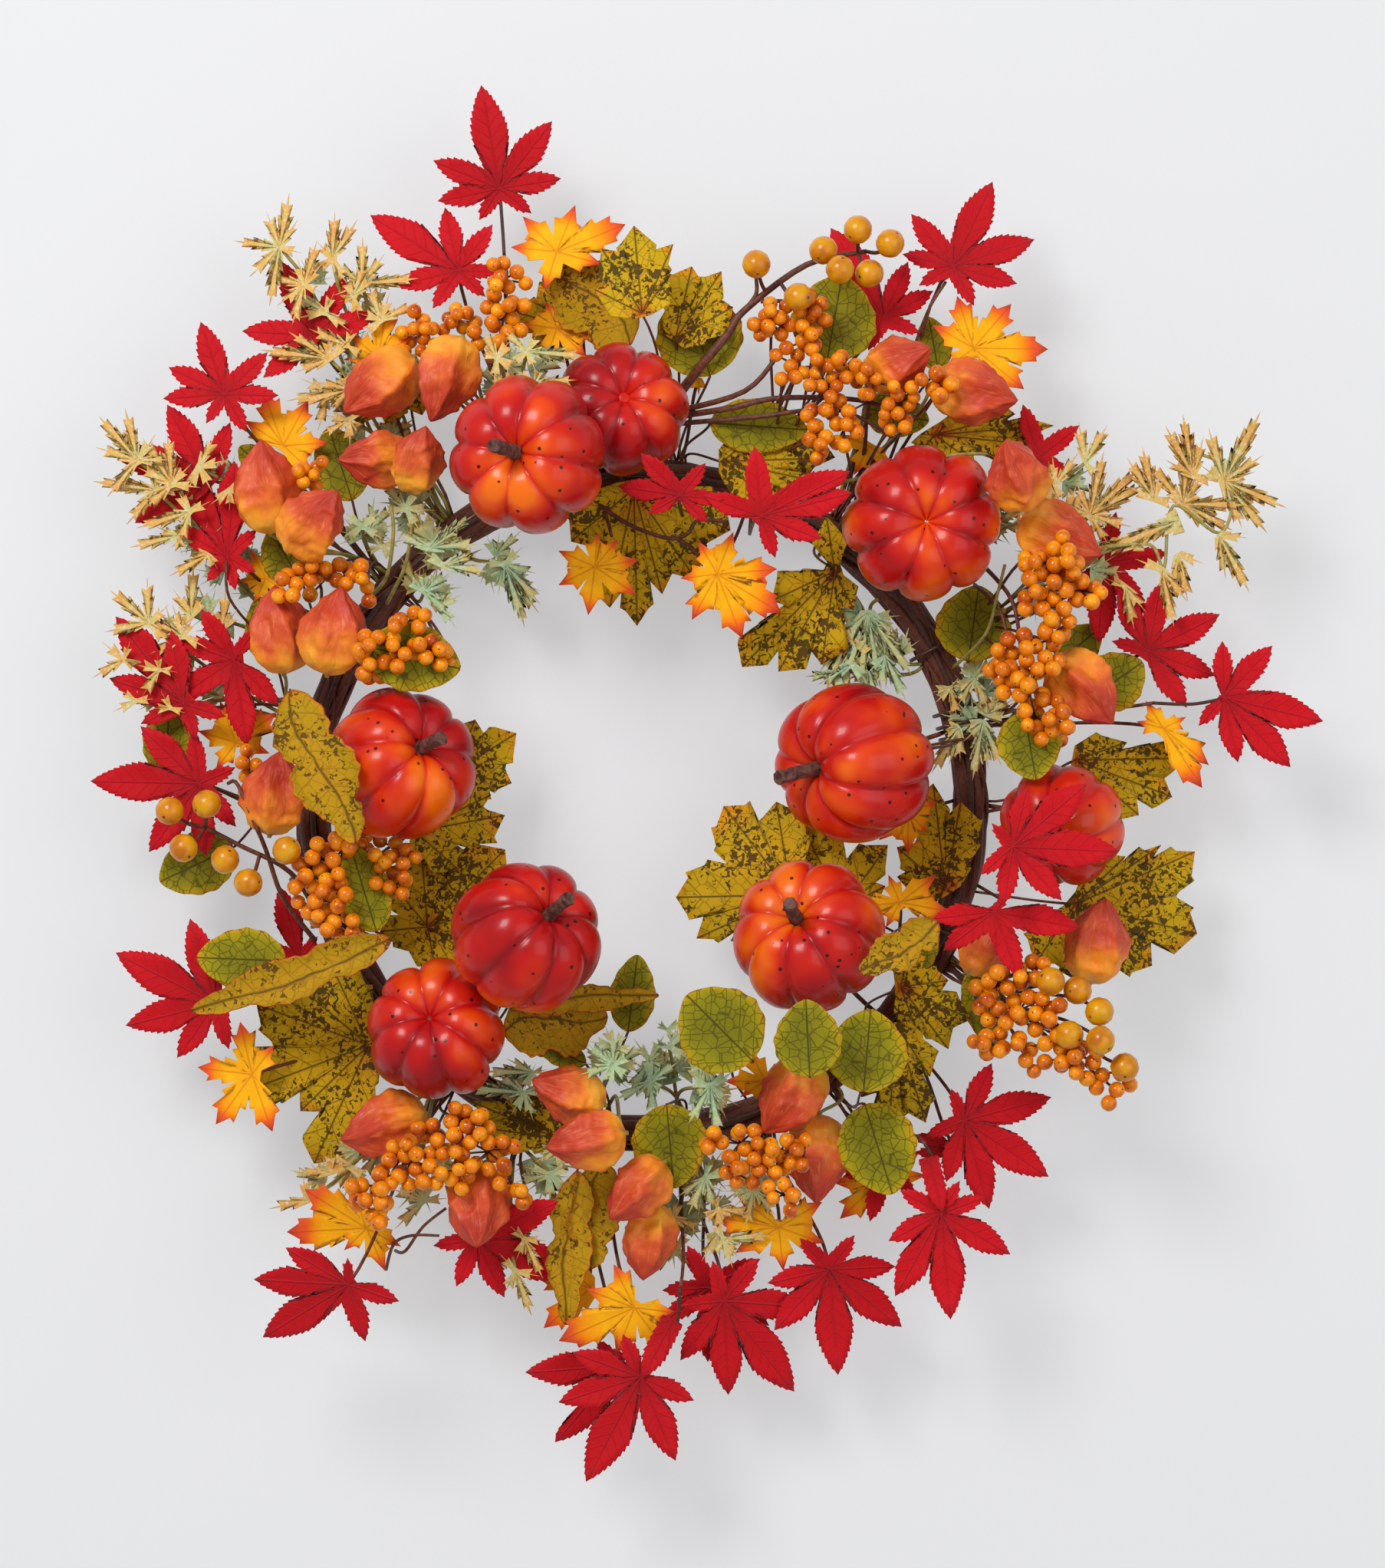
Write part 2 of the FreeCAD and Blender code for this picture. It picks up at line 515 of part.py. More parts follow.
small_bunches = (
    # berry radius, wanted height, middles of the berries
    (3.3, 38, ((-60, 235), (-54, 231), (-61, 229), (-58, 225), (-64, 222), (-56, 218), (-67, 216),
         (-62, 214),
           (-56, 211), (-64, 208), (-58, 205), (-71, 200), (-62, 200))),
    (3.1, 28, ((-81, 216), (-76, 214), (-83, 210), (-78, 208))),
    (3.1, 30, ((-95, 211), (-99, 207), (-91, 207), (-95, 203), (-101, 202), (-90, 200))),
    (3.2, 42, ((73, 221), (78, 217), (63, 216), (69, 214), (74, 212), (54, 212), (49, 208), (60, 211),
         (65, 208),
           (55, 206), (61, 205), (70, 207), (76, 206), (70, 201), (63, 198), (74, 197), (68, 195),
                (65, 190),
           (67, 185))),
    (3.1, 42, ((76, 187), (78, 181), (81, 190), (83, 185), (87, 190), (89, 185), (93, 190), (94, 184),
         (98, 188),
           (97, 178), (101, 183))),
    (3.4, 42, ((86, 175), (80, 171), (74, 171), (90, 170), (92, 165), (85, 165), (76, 164), (80, 159),
         (73, 158),
           (85, 157), (78, 153))),
    (3.1, 46, ((111, 177), (107, 172), (116, 173), (111, 169), (106, 166), (115, 166), (117, 180))),
    (3.8, 52, ((128, 186), (134, 181))),
    (3.5, 62, ((178, 110), (184, 109), (172, 106), (188, 104), (166, 103), (178, 103), (173, 99),
         (184, 99),
           (167, 97), (178, 96), (190, 96), (196, 93), (172, 91), (183, 92), (166, 89), (177, 89),
                (188, 88),
           (194, 87), (173, 84), (182, 84), (178, 79), (174, 74), (178, 69))),
    (3.5, 64, ((158, 71), (170, 68), (160, 65), (174, 63), (166, 62), (159, 59), (171, 57), (177, 58),
         (155, 54),
           (162, 54), (168, 51), (156, 48), (163, 47), (173, 45), (165, 40), (171, 39), (178, 38),
                (170, 33),
           (177, 32), (183, 33), (181, 28))),
    (3.0, 44, ((-146, 145), (-141, 146), (-146, 139), (-141, 138))),
    (3.4, 46, ((-148, 102), (-142, 105), (-137, 102), (-143, 97), (-149, 95), (-150, 90), (-144, 91),
         (-131, 104),
           (-132, 97), (-125, 99), (-121, 103), (-118, 88))),
    (3.4, 70, ((-97, 82), (-103, 79), (-95, 76), (-101, 74), (-118, 72), (-112, 70), (-106, 71),
         (-120, 66),
           (-90, 70), (-97, 68), (-86, 66), (-103, 65), (-92, 63), (-86, 60), (-98, 60), (-117, 61),
                (-110, 61),
           (-104, 59), (-119, 56), (-112, 55))),
    (3.5, 48, ((-148, -26), (-142, -23), (-136, -20), (-131, -17), (-145, -31), (-139, -28),
         (-133, -24), (-127, -20),
           (-142, -36), (-136, -33), (-130, -31), (-141, -42), (-134, -39), (-144, -47), (-137, -46),
                (-131, -44),
           (-127, -49), (-133, -51), (-125, -56), (-131, -57), (-125, -12))),
    (3.2, 46, ((-120, -14), (-114, -16), (-107, -17), (-102, -20), (-109, -23), (-115, -22),
         (-103, -26), (-108, -30),
           (-102, -33), (-109, -36))),
    (3.1, 34, ((-174, 18), (-168, 17), (-173, 12), (-167, 11), (-170, 6))),
    (3.5, 62, ((150, -76), (156, -73), (163, -71), (169, -68), (151, -82), (158, -79), (164, -77),
         (170, -75),
           (154, -88), (161, -85), (167, -83), (173, -84), (150, -93), (157, -94), (164, -92),
                (170, -90),
           (177, -88), (149, -100), (155, -99), (163, -101), (170, -97), (176, -94), (149, -107),
                (156, -105),
           (168, -106), (174, -103), (181, -105), (174, -111), (181, -111), (188, -107), (188, -113),
           (195, -111), (192, -118), (199, -117), (205, -123), (211, -121))),
    (3.4, 52, ((-76, -133), (-82, -137), (-75, -139), (-90, -139), (-66, -140), (-88, -145),
         (-80, -144), (-73, -145),
           (-66, -146), (-94, -144), (-84, -150), (-77, -151), (-55, -148), (-91, -151), (-97, -151))),
    (3.5, 52, ((-109, -154), (-102, -152), (-113, -160), (-105, -161), (-97, -158), (-91, -156),
         (-94, -163),
           (-121, -165), (-114, -167), (-109, -164), (-119, -171), (-112, -172), (-116, -178))),
    (3.3, 52, ((-79, -157), (-73, -156), (-82, -162), (-66, -158), (-64, -152), (-59, -158),
         (-61, -164),
           (-54, -167), (-51, -172))),
    (3.3, 56, ((42, -142), (49, -141), (35, -146), (29, -148), (56, -147), (63, -145), (38, -152),
         (45, -149),
           (52, -151), (60, -152), (67, -148), (37, -159), (44, -157), (51, -158), (58, -159),
                (65, -155),
           (55, -165), (62, -164), (65, -170))),
)
large_sprays = (
    # wanted height, where the branch starts and passes, then the middles of the berries
    (46, ((18, 180), (38, 205), (50, 219), (72, 235)),
     ((50, 234), (68, 219), (79, 240), (86, 231), (94, 249), (108, 243), (99, 230))),
    (50, ((-140, -58), (-152, -34), (-168, -20), (-182, -12)),
     ((-204, -3), (-188, 0), (-198, -19), (-180, -24), (-170, -34), (-153, -20))),
    (68, ((158, -92), (172, -88), (186, -90), (200, -104)),
     ((176, -76), (188, -80), (197, -89), (184, -99), (197, -101), (208, -113))),
)

# The pieces whose wire can be bent: (name, leaves, way of the stalk from its joint).
bending_pumpkin = "pumpkin_4"
bending_pumpkin_joint = (136.0, 26.5)
bending_pieces = (
    ("red_leaf_top",
     (("red", (-62, 269), ((-70, 314), (-39, 298), (-35, 273), (-48, 258), (-71, 255), (-89, 263),
          (-91, 281))),),
     ((-60, 240), (-62, 269))),
    ("red_leaf_right",
     (("red", (254, 46), ((275, 69), (297, 36), (283, 16), (260, 18), (243, 34), (253, 71))),),
     ((222, 47), (254, 46))),
    ("red_leaf_bottom",
     (("red", (0, -249), ((-24, -294), (15, -285), (23, -259), (-36, -260), (-30, -238), (-8, -230),
          (11, -238))),),
     ((17, -210), (14, -232), (0, -249))),
    ("red_leaf_low_right",
     (("red", (130, -177), ((134, -223), (110, -213), (107, -189), (112, -167), (138, -163),
          (149, -170),
                            (160, -195))),),
     ((123, -147), (130, -177))),
    ("frosted_sprig_right",
     (("frosted", (242, 153), ((228, 165), (236, 170), (245, 160))),
      ("frosted", (253, 148), ((247, 164), (270, 171), (271, 152), (243, 148), (260, 128))),
      ("frosted", (258, 134), ((281, 129), (268, 145), (262, 120), (273, 118))),
      ("frosted", (252, 117), ((265, 92), (255, 98), (265, 116))),
      ("frosted", (232, 130), ((228, 150), (240, 157), (252, 140))),
      ("frosted", (227, 102), ((232, 77), (238, 88), (215, 107)))),
     ((203, 110), (222, 113), (228, 103), (232, 130), (252, 118), (258, 134), (253, 148), (242, 153))),
)


# ---------------------------------------------------------------- outlines

lobe_shapes = {
    # notch, where the lobe is widest, its half width there, shoulder, its half width
    "red": (0.34, 0.5, 0.155, 0.78, 0.09),
    "orange": (0.5, 0.62, 0.2, 0.85, 0.1),
    "speckled": (0.58, 0.7, 0.24, 0.88, 0.14),
    "frosted": (0.22, 0.42, 0.1, 0.74, 0.055),
}


def lobedOutline(kind, middle, tips):
    # One lobe for each tip, with a notch between each two.
    notch, belly, belly_width, shoulder, shoulder_width = lobe_shapes[kind]
    x, z = middle
    lobes = sorted((math.atan2(tz - z, tx - x), math.hypot(tx - x, tz - z)) for tx, tz in tips)
    outline = []
    for k, (turn, length) in enumerate(lobes):
        after = lobes[(k + 1) % len(lobes)]
        before = lobes[k - 1]
        gap_after = (after[0] - turn) % (2 * math.pi)
        gap_before = (turn - before[0]) % (2 * math.pi)
        if len(lobes) == 1:
            gap_after = gap_before = 2 * math.pi
        right = math.tan(min(gap_before * 0.42, 1.2))
        left = math.tan(min(gap_after * 0.42, 1.2))
        marks = (
            (belly, -min(belly_width, belly * right)),
            (shoulder, -min(shoulder_width, shoulder * right)),
            (1.0, 0.0),
            (shoulder, min(shoulder_width, shoulder * left)),
            (belly, min(belly_width, belly * left)),
        )
        for along, aside in marks:
            px = x + length * (along * math.cos(turn) - aside * math.sin(turn))
            pz = z + length * (along * math.sin(turn) + aside * math.cos(turn))
            outline.append((px, pz))
        depth = notch * min(length, after[1])
        turns = (0.5,)
        if gap_after > 1.7:
            depth = min(depth, 0.16 * max(length, after[1]))
            turns = (0.25, 0.75)
        for part in turns:
            way = turn + gap_after * part
            outline.append((x + depth * math.cos(way), z + depth * math.sin(way)))
    return outline


def roundOutline(kind, base, turn, length, width):
    points = 22 if kind == "round" else 14
    turn = math.radians(turn)
    outline = []
    for k in range(points):
        a = 2 * math.pi * k / points
        along = length * (1 - math.cos(a)) / 2
        aside = width / 2 * math.sin(a) * (1 - 0.15 * math.cos(a))
        outline.append((
            base[0] + along * math.cos(turn) - aside * math.sin(turn),
            base[1] + along * math.sin(turn) + aside * math.cos(turn),
        ))
    return outline


def leafOutline(piece):
    kind, middle = piece[0], piece[1]
    new_x, new_z = moved(*middle)
    if kind in lobe_shapes:
        outline = lobedOutline(kind, middle, piece[2])
    else:
        outline = roundOutline(kind, middle, *piece[2:])
    shift_x, shift_z = new_x - middle[0], new_z - middle[1]
    return (new_x, new_z), [(x + shift_x, z + shift_z) for x, z in outline]


def quarter(x, z):
    return ("top" if z >= 0 else "bottom") + ("_right" if x >= 0 else "_left")


# ---------------------------------------------------------------- laying

plates = []
laid_pods = []
laid_berries = []
laid_pumpkins = []
wires = []
joint_balls = []


def layLeaf(piece, number, wanted):
    (x, z), outline = leafOutline(piece)
    slope = leanAt(x, z, number)
    spans = []
    for i, j in coveredSquares(outline):
        offset = slope[0] * (i - x) + slope[1] * (j - z)
        spans.append(((i, j), offset - 0.1, offset + leaf_thickness + 0.1))
    height = freeHeight(spans, wanted_heights.get(piece[1], wanted), stack_gap)
    fill(spans, height, "plate")
    plates.append({
        "kind": piece[0], "at": (x, z), "outline": outline,
        "slope": slope, "height": height, "spans": spans,
    })


def layPod(piece):
    kind, middle, turn, tilt, scale, wanted = piece
    x, z = moved(*middle)
    turn, tilt = math.radians(turn), math.radians(tilt)
    axis = (math.cos(tilt) * math.cos(turn), math.sin(tilt), math.cos(tilt) * math.sin(turn))
    spans = ellipsoidSpans(x, z, axis, size("pod_length") * scale * 0.56,
         size("pod_width") * scale * 0.53)
    height = freeHeight(spans, wanted, 0.4)
    fill(spans, height, "pod")
    laid_pods.append((x, z, height, axis, scale))


def layBerry(x, z, radius, bunch, wanted):
    spans = ellipsoidSpans(x, z, (0, 1, 0), radius, radius)
    height = freeHeight(spans, wanted, 0.15)
    fill(spans, height, "berry")
    laid_berries.append((x, z, height, radius, bunch))


def keepSweepClear(x, z, height, axis, along, across):
    # Room for the pumpkin that swings to the front on its wire.
    joint_x, joint_z = bending_pumpkin_joint
    for degrees in (4, 8, 12):
        turn = math.radians(degrees)
        new_x = joint_x + (x - joint_x) * math.cos(turn)
        new_height = height + (joint_x - x) * math.sin(turn)
        new_axis = (
            axis[0] * math.cos(turn) + axis[1] * math.sin(turn),
            axis[1] * math.cos(turn) - axis[0] * math.sin(turn),
            axis[2],
        )
        fill(ellipsoidSpans(new_x, z, new_axis, along, across), new_height, "sweep")


def layPumpkin(piece):
    name, middle, scale, way, has_stem, wanted = piece
    x, z = moved(*middle)
    length = math.sqrt(sum(part * part for part in way))
    axis = tuple(part / length for part in way)
    across = size("pumpkin_radius") * scale * 1.05
    along = size("pumpkin_half_height") * scale * 1.16
    spans = ellipsoidSpans(x, z, axis, along, across)
    height = freeHeight(spans, wanted, 0.3)
    fill(spans, height, "pumpkin")
    laid_pumpkins.append((name, x, z, height, axis, scale, has_stem))
    if name == bending_pumpkin:
        keepSweepClear(x, z, height, axis, along, across)


# Pieces that can be bent on their wires: what moves, where its wire's joint is,
# the way the stalk leaves the joint, and how far it bends to the front.

bending = {}


def frontOf(spans, gap):
    # The least height at which a piece lies in front of everything laid so far.
    return max(
        max([floor_height] + [high for low, high, kind in filled.get(square, ())]) - back + gap
        for square, back, front in spans
    )


def nearestColumn(x, z, height):
    # The nearest square that is open all the way from a joint back to the ring.
    spots = []
    for i in range(int(x) - 12, int(x) + 13):
        for j in range(int(z) - 12, int(z) + 13):
            spots.append((math.hypot(i - x, j - z), i, j))
    spots.sort()
    for away, i, j in spots:
        if abs(math.hypot(i, j) - ring_radius) < 2.5 or not azimuthIsFree(i, j):
            continue
        if columnIsOpen(i, j, spine_height, height):
            return i, j
    raise RuntimeError("no open column near %d, %d" % (x, z))


def layBending(name, leaves, stalk):
    outlines = [leafOutline(leaf)[1] for leaf in leaves]
    stalk = [moved(*point) for point in stalk]
    joint = stalk[0]
    for attempt in range(2):
        squares = set()
        for outline in outlines:
            squares |= coveredSquares(outline)
        for (x1, z1), (x2, z2) in zip([joint] + stalk[1:], stalk[1:]):
            squares |= coveredSquares([(x1, z1), (x2, z2), (x2 + 0.5, z2 + 0.5)])
        spans = [(square, -0.6, leaf_thickness + 0.6) for square in squares]
        height = frontOf(spans, 2.5)
        joint = nearestColumn(stalk[0][0], stalk[0][1], height)
    level = height + leaf_thickness / 2
    wires.append((quarter(*joint), wirePoints(joint[0], joint[1], level, joint)))
    joint_balls.append(vector(joint[0], joint[1], level))
    fill(spans, height, "bending")
    bending[name] = {"outlines": outlines, "stalk": [joint] + stalk[1:], "height": height}


for number, piece in enumerate(back_pieces):
    layLeaf(piece, number, floor_height + 1.0)
for piece in pumpkins:
    layPumpkin(piece)
for piece in pods:
    layPod(piece)
for number, piece in enumerate(middle_pieces):
    layLeaf(piece, number + 60, 28.0)
for number, piece in enumerate(front_pieces):
    layLeaf(piece, number + 200, 60.0)
for bunch, (radius, wanted, middles) in enumerate(small_bunches):
    for middle in middles:
        x, z = moved(*middle)
        layBerry(x, z, radius, bunch, wanted)
for wanted, branch, middles in large_sprays:
    for middle in middles:
        x, z = moved(*middle)
        layBerry(x, z, size("large_berry_radius"), None, wanted)
for name, leaves, stalk in bending_pieces:
    layBending(name, leaves, stalk)


# ------------------------------------------------------ pumpkins and pods

# Pumpkins: one mould of lobes round an axis, with a dimple that seats the stem.

def pumpkinMould(radius, half_height, lobes):
    stretch = FreeCAD.Matrix()
    stretch.scale(radius * 0.58, radius * 0.42, half_height)
    lobe = Part.makeSphere(1.0).transformGeometry(stretch)
    lobe.translate(FreeCAD.Vector(radius * 0.42, 0, 0))
    ring_of_lobes = []
    for k in range(lobes):
        copy = lobe.copy()
        copy.rotate(FreeCAD.Vector(), FreeCAD.Vector(0, 0, 1), 360.0 * k / lobes)
        ring_of_lobes.append(copy)
    return ring_of_lobes[0].multiFuse(ring_of_lobes[1:])


mould_shape = pumpkinMould(
    size("pumpkin_radius"), size("pumpkin_half_height"), int(size("pumpkin_lobes"))
)


def turnTo(axis):
    return FreeCAD.Rotation(FreeCAD.Vector(0, 0, 1), FreeCAD.Vector(axis[0], -axis[1], axis[2]))


def surfaceBack(solid, i, j):
    # Where a line from the ring straight to the front first meets a solid.
    line = Part.makeLine(vector(i, j, spine_height), vector(i, j, 400))
    inside = solid.common(line)
    if not inside.Vertexes:
        return None
    return min(-vertex.Point.y for vertex in inside.Vertexes)


# Lantern pods: five ribs, a wide waist and a pointed tip.

pod_marks = ((0.0, 0.24), (0.1, 0.62), (0.25, 0.92), (0.42, 1.0), (0.6, 0.86), (0.78, 0.55),
     (0.92, 0.2), (1.0, 0.05))


def podShape(length, width):
    rings = []
    for along, wide in pod_marks:
        corners = []
        for k in range(10):
            radius = width / 2 * wide * (1.0 if k % 2 == 0 else 0.86)
            a = 2 * math.pi * k / 10
            corners.append(FreeCAD.Vector(radius * math.cos(a), radius * math.sin(a),
                 length * (along - 0.5)))
        rings.append(Part.makePolygon(corners + corners[:1]))
    return Part.makeLoft(rings, True, True)


pod_shape = podShape(size("pod_length"), size("pod_width"))
pod_solids = []
for x, z, height, axis, scale in laid_pods:
    pod = pod_shape.scaled(scale)
    pod.Placement = FreeCAD.Placement(vector(x, z, height), turnTo(axis))
    pod_solids.append((quarter(x, z), pod))
pumpkin_solids = {}
for name, x, z, height, axis, scale, has_stem in laid_pumpkins:
    pumpkin = mould_shape.scaled(scale)
    pumpkin.Placement = FreeCAD.Placement(vector(x, z, height), turnTo(axis))
    pumpkin_solids[name] = pumpkin


# ---------------------------------------------------------------- wiring

def addWire(x, z, height, slope=(0.0, 0.0)):
    spot = findDrop(x, z, height, slope)
    if spot is not None:
        wires.append((quarter(*spot), wirePoints(x, z, height, spot, slope)))


for name, x, z, height, axis, scale, has_stem in laid_pumpkins:
    if name == bending_pumpkin:
        swing_x, swing_z = nearestColumn(bending_pumpkin_joint[0], bending_pumpkin_joint[1], height)
        swing_height = height
        wires.append((quarter(swing_x, swing_z), wirePoints(swing_x, swing_z, height, (swing_x,
             swing_z))))
        joint_balls.append(vector(swing_x, swing_z, height))
        print(name, "joint", swing_x, swing_z, "height", height)
def squaresNear(x, z, reach):
    found = []
    for i in range(int(x - reach), int(x + reach) + 2):
        for j in range(int(z - reach), int(z + reach) + 2):
            away = math.hypot(i - x, j - z)
            if away <= reach:
                found.append((away, i, j))
    return [(i, j) for away, i, j in sorted(found)]


def columnIsFree(i, j, top):
    if abs(math.hypot(i, j) - ring_radius) < 2.5 or not azimuthIsFree(i, j):
        return False
    return columnIsOpen(i, j, spine_height, top)


def addStraightWire(i, j, top):
    wires.append((quarter(i, j), wirePoints(i, j, top, (i, j))))


four_ways = ((1, 0), (-1, 0), (0, 1), (0, -1))


def wireToSolid(solid, x, z, height, axis, along, across, kind):
    # A straight wire to the back of a pumpkin or a pod, as near its middle as it can be.
    backs = {square: back for square, back, front in ellipsoidSpans(x, z, axis, along, across)}
    for i, j in squaresNear(x, z, across * 0.85):
        if (i, j) not in backs or not columnIsFree(i, j, height + backs[(i, j)] - 1.2):
            continue
        rim = [(i, j)] + [(i + wire_radius * a, j + wire_radius * b) for a, b in four_ways]
        tops = [surfaceBack(solid, a, b) for a, b in rim]
        if None not in tops:
            addStraightWire(i, j, min(tops) - 0.02)
            return True
    return False


unheld = []
for name, x, z, height, axis, scale, has_stem in laid_pumpkins:
    across = size("pumpkin_radius") * scale * 1.05
    along = size("pumpkin_half_height") * scale * 1.16
    if name != bending_pumpkin:
        if not wireToSolid(pumpkin_solids[name], x, z, height, axis, along, across, "pumpkin"):
            unheld.append(name)
for number, (x, z, height, axis, scale) in enumerate(laid_pods):
    along = size("pod_length") * scale * 0.56
    across = size("pod_width") * scale * 0.53
    if not wireToSolid(pod_solids[number][1], x, z, height, axis, along, across, "pod"):
        back = size("pod_length") * scale / 2 + wire_radius
        addWire(x - axis[0] * back, z - axis[2] * back, height - axis[1] * back)
        unheld.append("pod %d" % number)


def wireToPlate(plate):
    x, z = plate["at"]
    slope = plate["slope"]
    steep = math.hypot(*slope)
    lower = wire_radius * steep + 0.05
    inner = {square for square, back, front in plate["spans"]}
    for i, j in squaresNear(x, z, 24):
        if any((i + a, j + b) not in inner for a in (-3, 0, 3) for b in (-3, 0, 3)):
            continue
        top = plate["height"] + slope[0] * (i - x) + slope[1] * (j - z) - lower
        if columnIsFree(i, j, top - 1.0):
            addStraightWire(i, j, top)
            return True
    return False


for plate in plates:
    if wireToPlate(plate):
        continue
    for square, back, front in plate["spans"]:
        filled[square].remove((plate["height"] + back, plate["height"] + front, "plate"))
    steep = math.hypot(*plate["slope"])
    under = plate["height"] - wire_radius * math.hypot(1.0, steep) - 0.15
    before = len(wires)
    addWire(plate["at"][0], plate["at"][1], under, plate["slope"])
    fill(plate["spans"], plate["height"], "plate")
    if len(wires) == before:
        unheld.append(plate["kind"])

held_berries = []
loose_berries = []
for x, z, height, radius, bunch in laid_berries:
    found = False
    for i, j in squaresNear(x, z, radius * 0.75):
        away = math.hypot(i - x, j - z)
        back = height - math.sqrt(radius * radius - away * away)
        if away < radius * 0.8 and columnIsFree(i, j, back - 0.6):
            addStraightWire(i, j, back - 0.02 - 0.35 * away / radius)
            found = True
            break
    (held_berries if found else loose_berries).append((x, z, height, radius))

# A berry with no way to the ring hangs by a short twig from its neighbour.
def twigIsClear(start, end, ends):
    # Whether a short twig misses every leaf, pod, pumpkin, wire and other berry.
    way = end.sub(start)
    steps = int(way.Length / 0.5) + 1
    for k in range(steps + 1):
        point = start.add(way * (k / steps))
        for di in (0, 1):
            for dj in (0, 1):
                square = (int(math.floor(point.x)) + di, int(math.floor(point.z)) + dj)
                for back, front, kind in filled.get(square, ()):
                    if kind != "berry" and back - 0.6 < -point.y < front + 0.6:
                        return False
        for other in laid_berries:
            if other[:3] in ends:
                continue
            if point.distanceToPoint(vector(*other[:3])) < other[3] + wire_radius + 0.1:
                return False
    return True


twigs = []
grown = True
while loose_berries and grown:
    grown = False
    for berry in list(loose_berries):
        x, z, height, radius = berry
        middle = vector(x, z, height)
        neighbours = []
        for other in held_berries:
            gap = middle.distanceToPoint(vector(*other[:3])) - other[3] - radius
            if gap < 12:
                neighbours.append((gap, other))
        for gap, other in sorted(neighbours)[:8]:
            if gap > 0.25:
                way = vector(*other[:3]).sub(middle)
                way.normalize()
                start = middle.add(way * (radius + 0.04))
                end = start.add(way * (gap - 0.08))
                if not twigIsClear(start, end, (berry[:3], other[:3])):
                    continue
                twigs.append((quarter(x, z), Part.makeCylinder(wire_radius, gap - 0.08, start, way)))
            held_berries.append(berry)
            loose_berries.remove(berry)
            grown = True
            break
print("held by nothing of their own:", unheld, "loose berries", len(loose_berries), "twigs", len(twigs))


# ------------------------------------------------------- parts of the sheet

def hang(obj):
    obj.Placement = FreeCAD.Placement(seat, FreeCAD.Rotation())
    return obj


def group(label, solids):
    # One sub-part made of several loose solids, hung with the rest.
    obj = doc.addObject("Part::Feature", label)
    obj.Label = label
    obj.Shape = Part.makeCompound(solids) if len(solids) > 1 else solids[0]
    return hang(obj)


subparts = []


def keep(obj):
    subparts.append(obj)
    return obj


# The ring: four canes side by side round the bundle, a spine wire in front.

def torus(label, radius_rule, thin_rule, place_rules):
    obj = doc.addObject("Part::Torus", label)
    obj.Label = label
    obj.setExpression("Radius1", radius_rule)
    obj.setExpression("Radius2", thin_rule)
    obj.Placement = FreeCAD.Placement(FreeCAD.Vector(), FreeCAD.Rotation(FreeCAD.Vector(1, 0, 0), 90))
    for axis, rule in zip("xyz", place_rules):
        obj.setExpression("Placement.Base." + axis, rule)
    return obj


half_step = "(Sizes.cane_radius + Sizes.cane_gap / 2)"
canes = []
for number, (out, ahead) in enumerate(((1, 1), (1, -1), (-1, 1), (-1, -1)), start=1):
    canes.append(torus(
        "cane_%d" % number,
        "Sizes.ring_radius + %d * %s" % (out, half_step),
        "Sizes.cane_radius",
        ("0", "-Sizes.hanging_back - %d * %s" % (ahead, half_step), "-Sizes.hanging_drop"),
    ))
bundle = doc.addObject("Part::Compound", "vine_canes")
bundle.Label = "vine_canes"
bundle.Links = canes
keep(bundle)
keep(torus(
    "spine_wire", "Sizes.ring_radius", "Sizes.spine_radius",
    ("0", "-Sizes.hanging_back - Sizes.spine_height", "-Sizes.hanging_drop"),
))


def wrapSolid(turn_degrees, ring, thin):
    turn = math.radians(turn_degrees)
    middle = FreeCAD.Vector(ring_radius * math.cos(turn), 0, ring_radius * math.sin(turn))
    along = FreeCAD.Vector(-math.sin(turn), 0, math.cos(turn))
    return Part.makeTorus(ring, thin, middle, along)


saddle_reach = math.hypot(size("saddle_height") / 2, size("saddle_back") + size("saddle_thickness"))
keep(group("cane_wraps", [
    wrapSolid(turn, size("wrap_ring_radius"), size("wrap_radius")) for turn in wrap_turns
] + [
    wrapSolid(turn, saddle_reach + size("wrap_radius") + 0.15,
         size("wrap_radius")) for turn in saddle_turns
]))

# The hanger clip: a saddle behind the canes with a tube for the loop's straight leg.

leg_height = "(-Sizes.loop_rise)"


def box(label, size_rules, place_rules):
    obj = doc.addObject("Part::Box", label)
    for side, rule in zip(("Length", "Width", "Height"), size_rules):
        obj.setExpression(side, rule)
    for axis, rule in zip("xyz", place_rules):
        obj.setExpression("Placement.Base." + axis, rule)
    return obj


def rod(label, radius_rule, length_rule):
    # A cylinder along X about the leg of the hanging loop.
    obj = doc.addObject("Part::Cylinder", label)
    obj.setExpression("Radius", radius_rule)
    obj.setExpression("Height", length_rule)
    obj.Placement = FreeCAD.Placement(FreeCAD.Vector(), FreeCAD.Rotation(FreeCAD.Vector(0, 1, 0), 90))
    obj.setExpression("Placement.Base.x", "-(%s) / 2" % length_rule)
    obj.setExpression("Placement.Base.z", leg_height)
    return obj


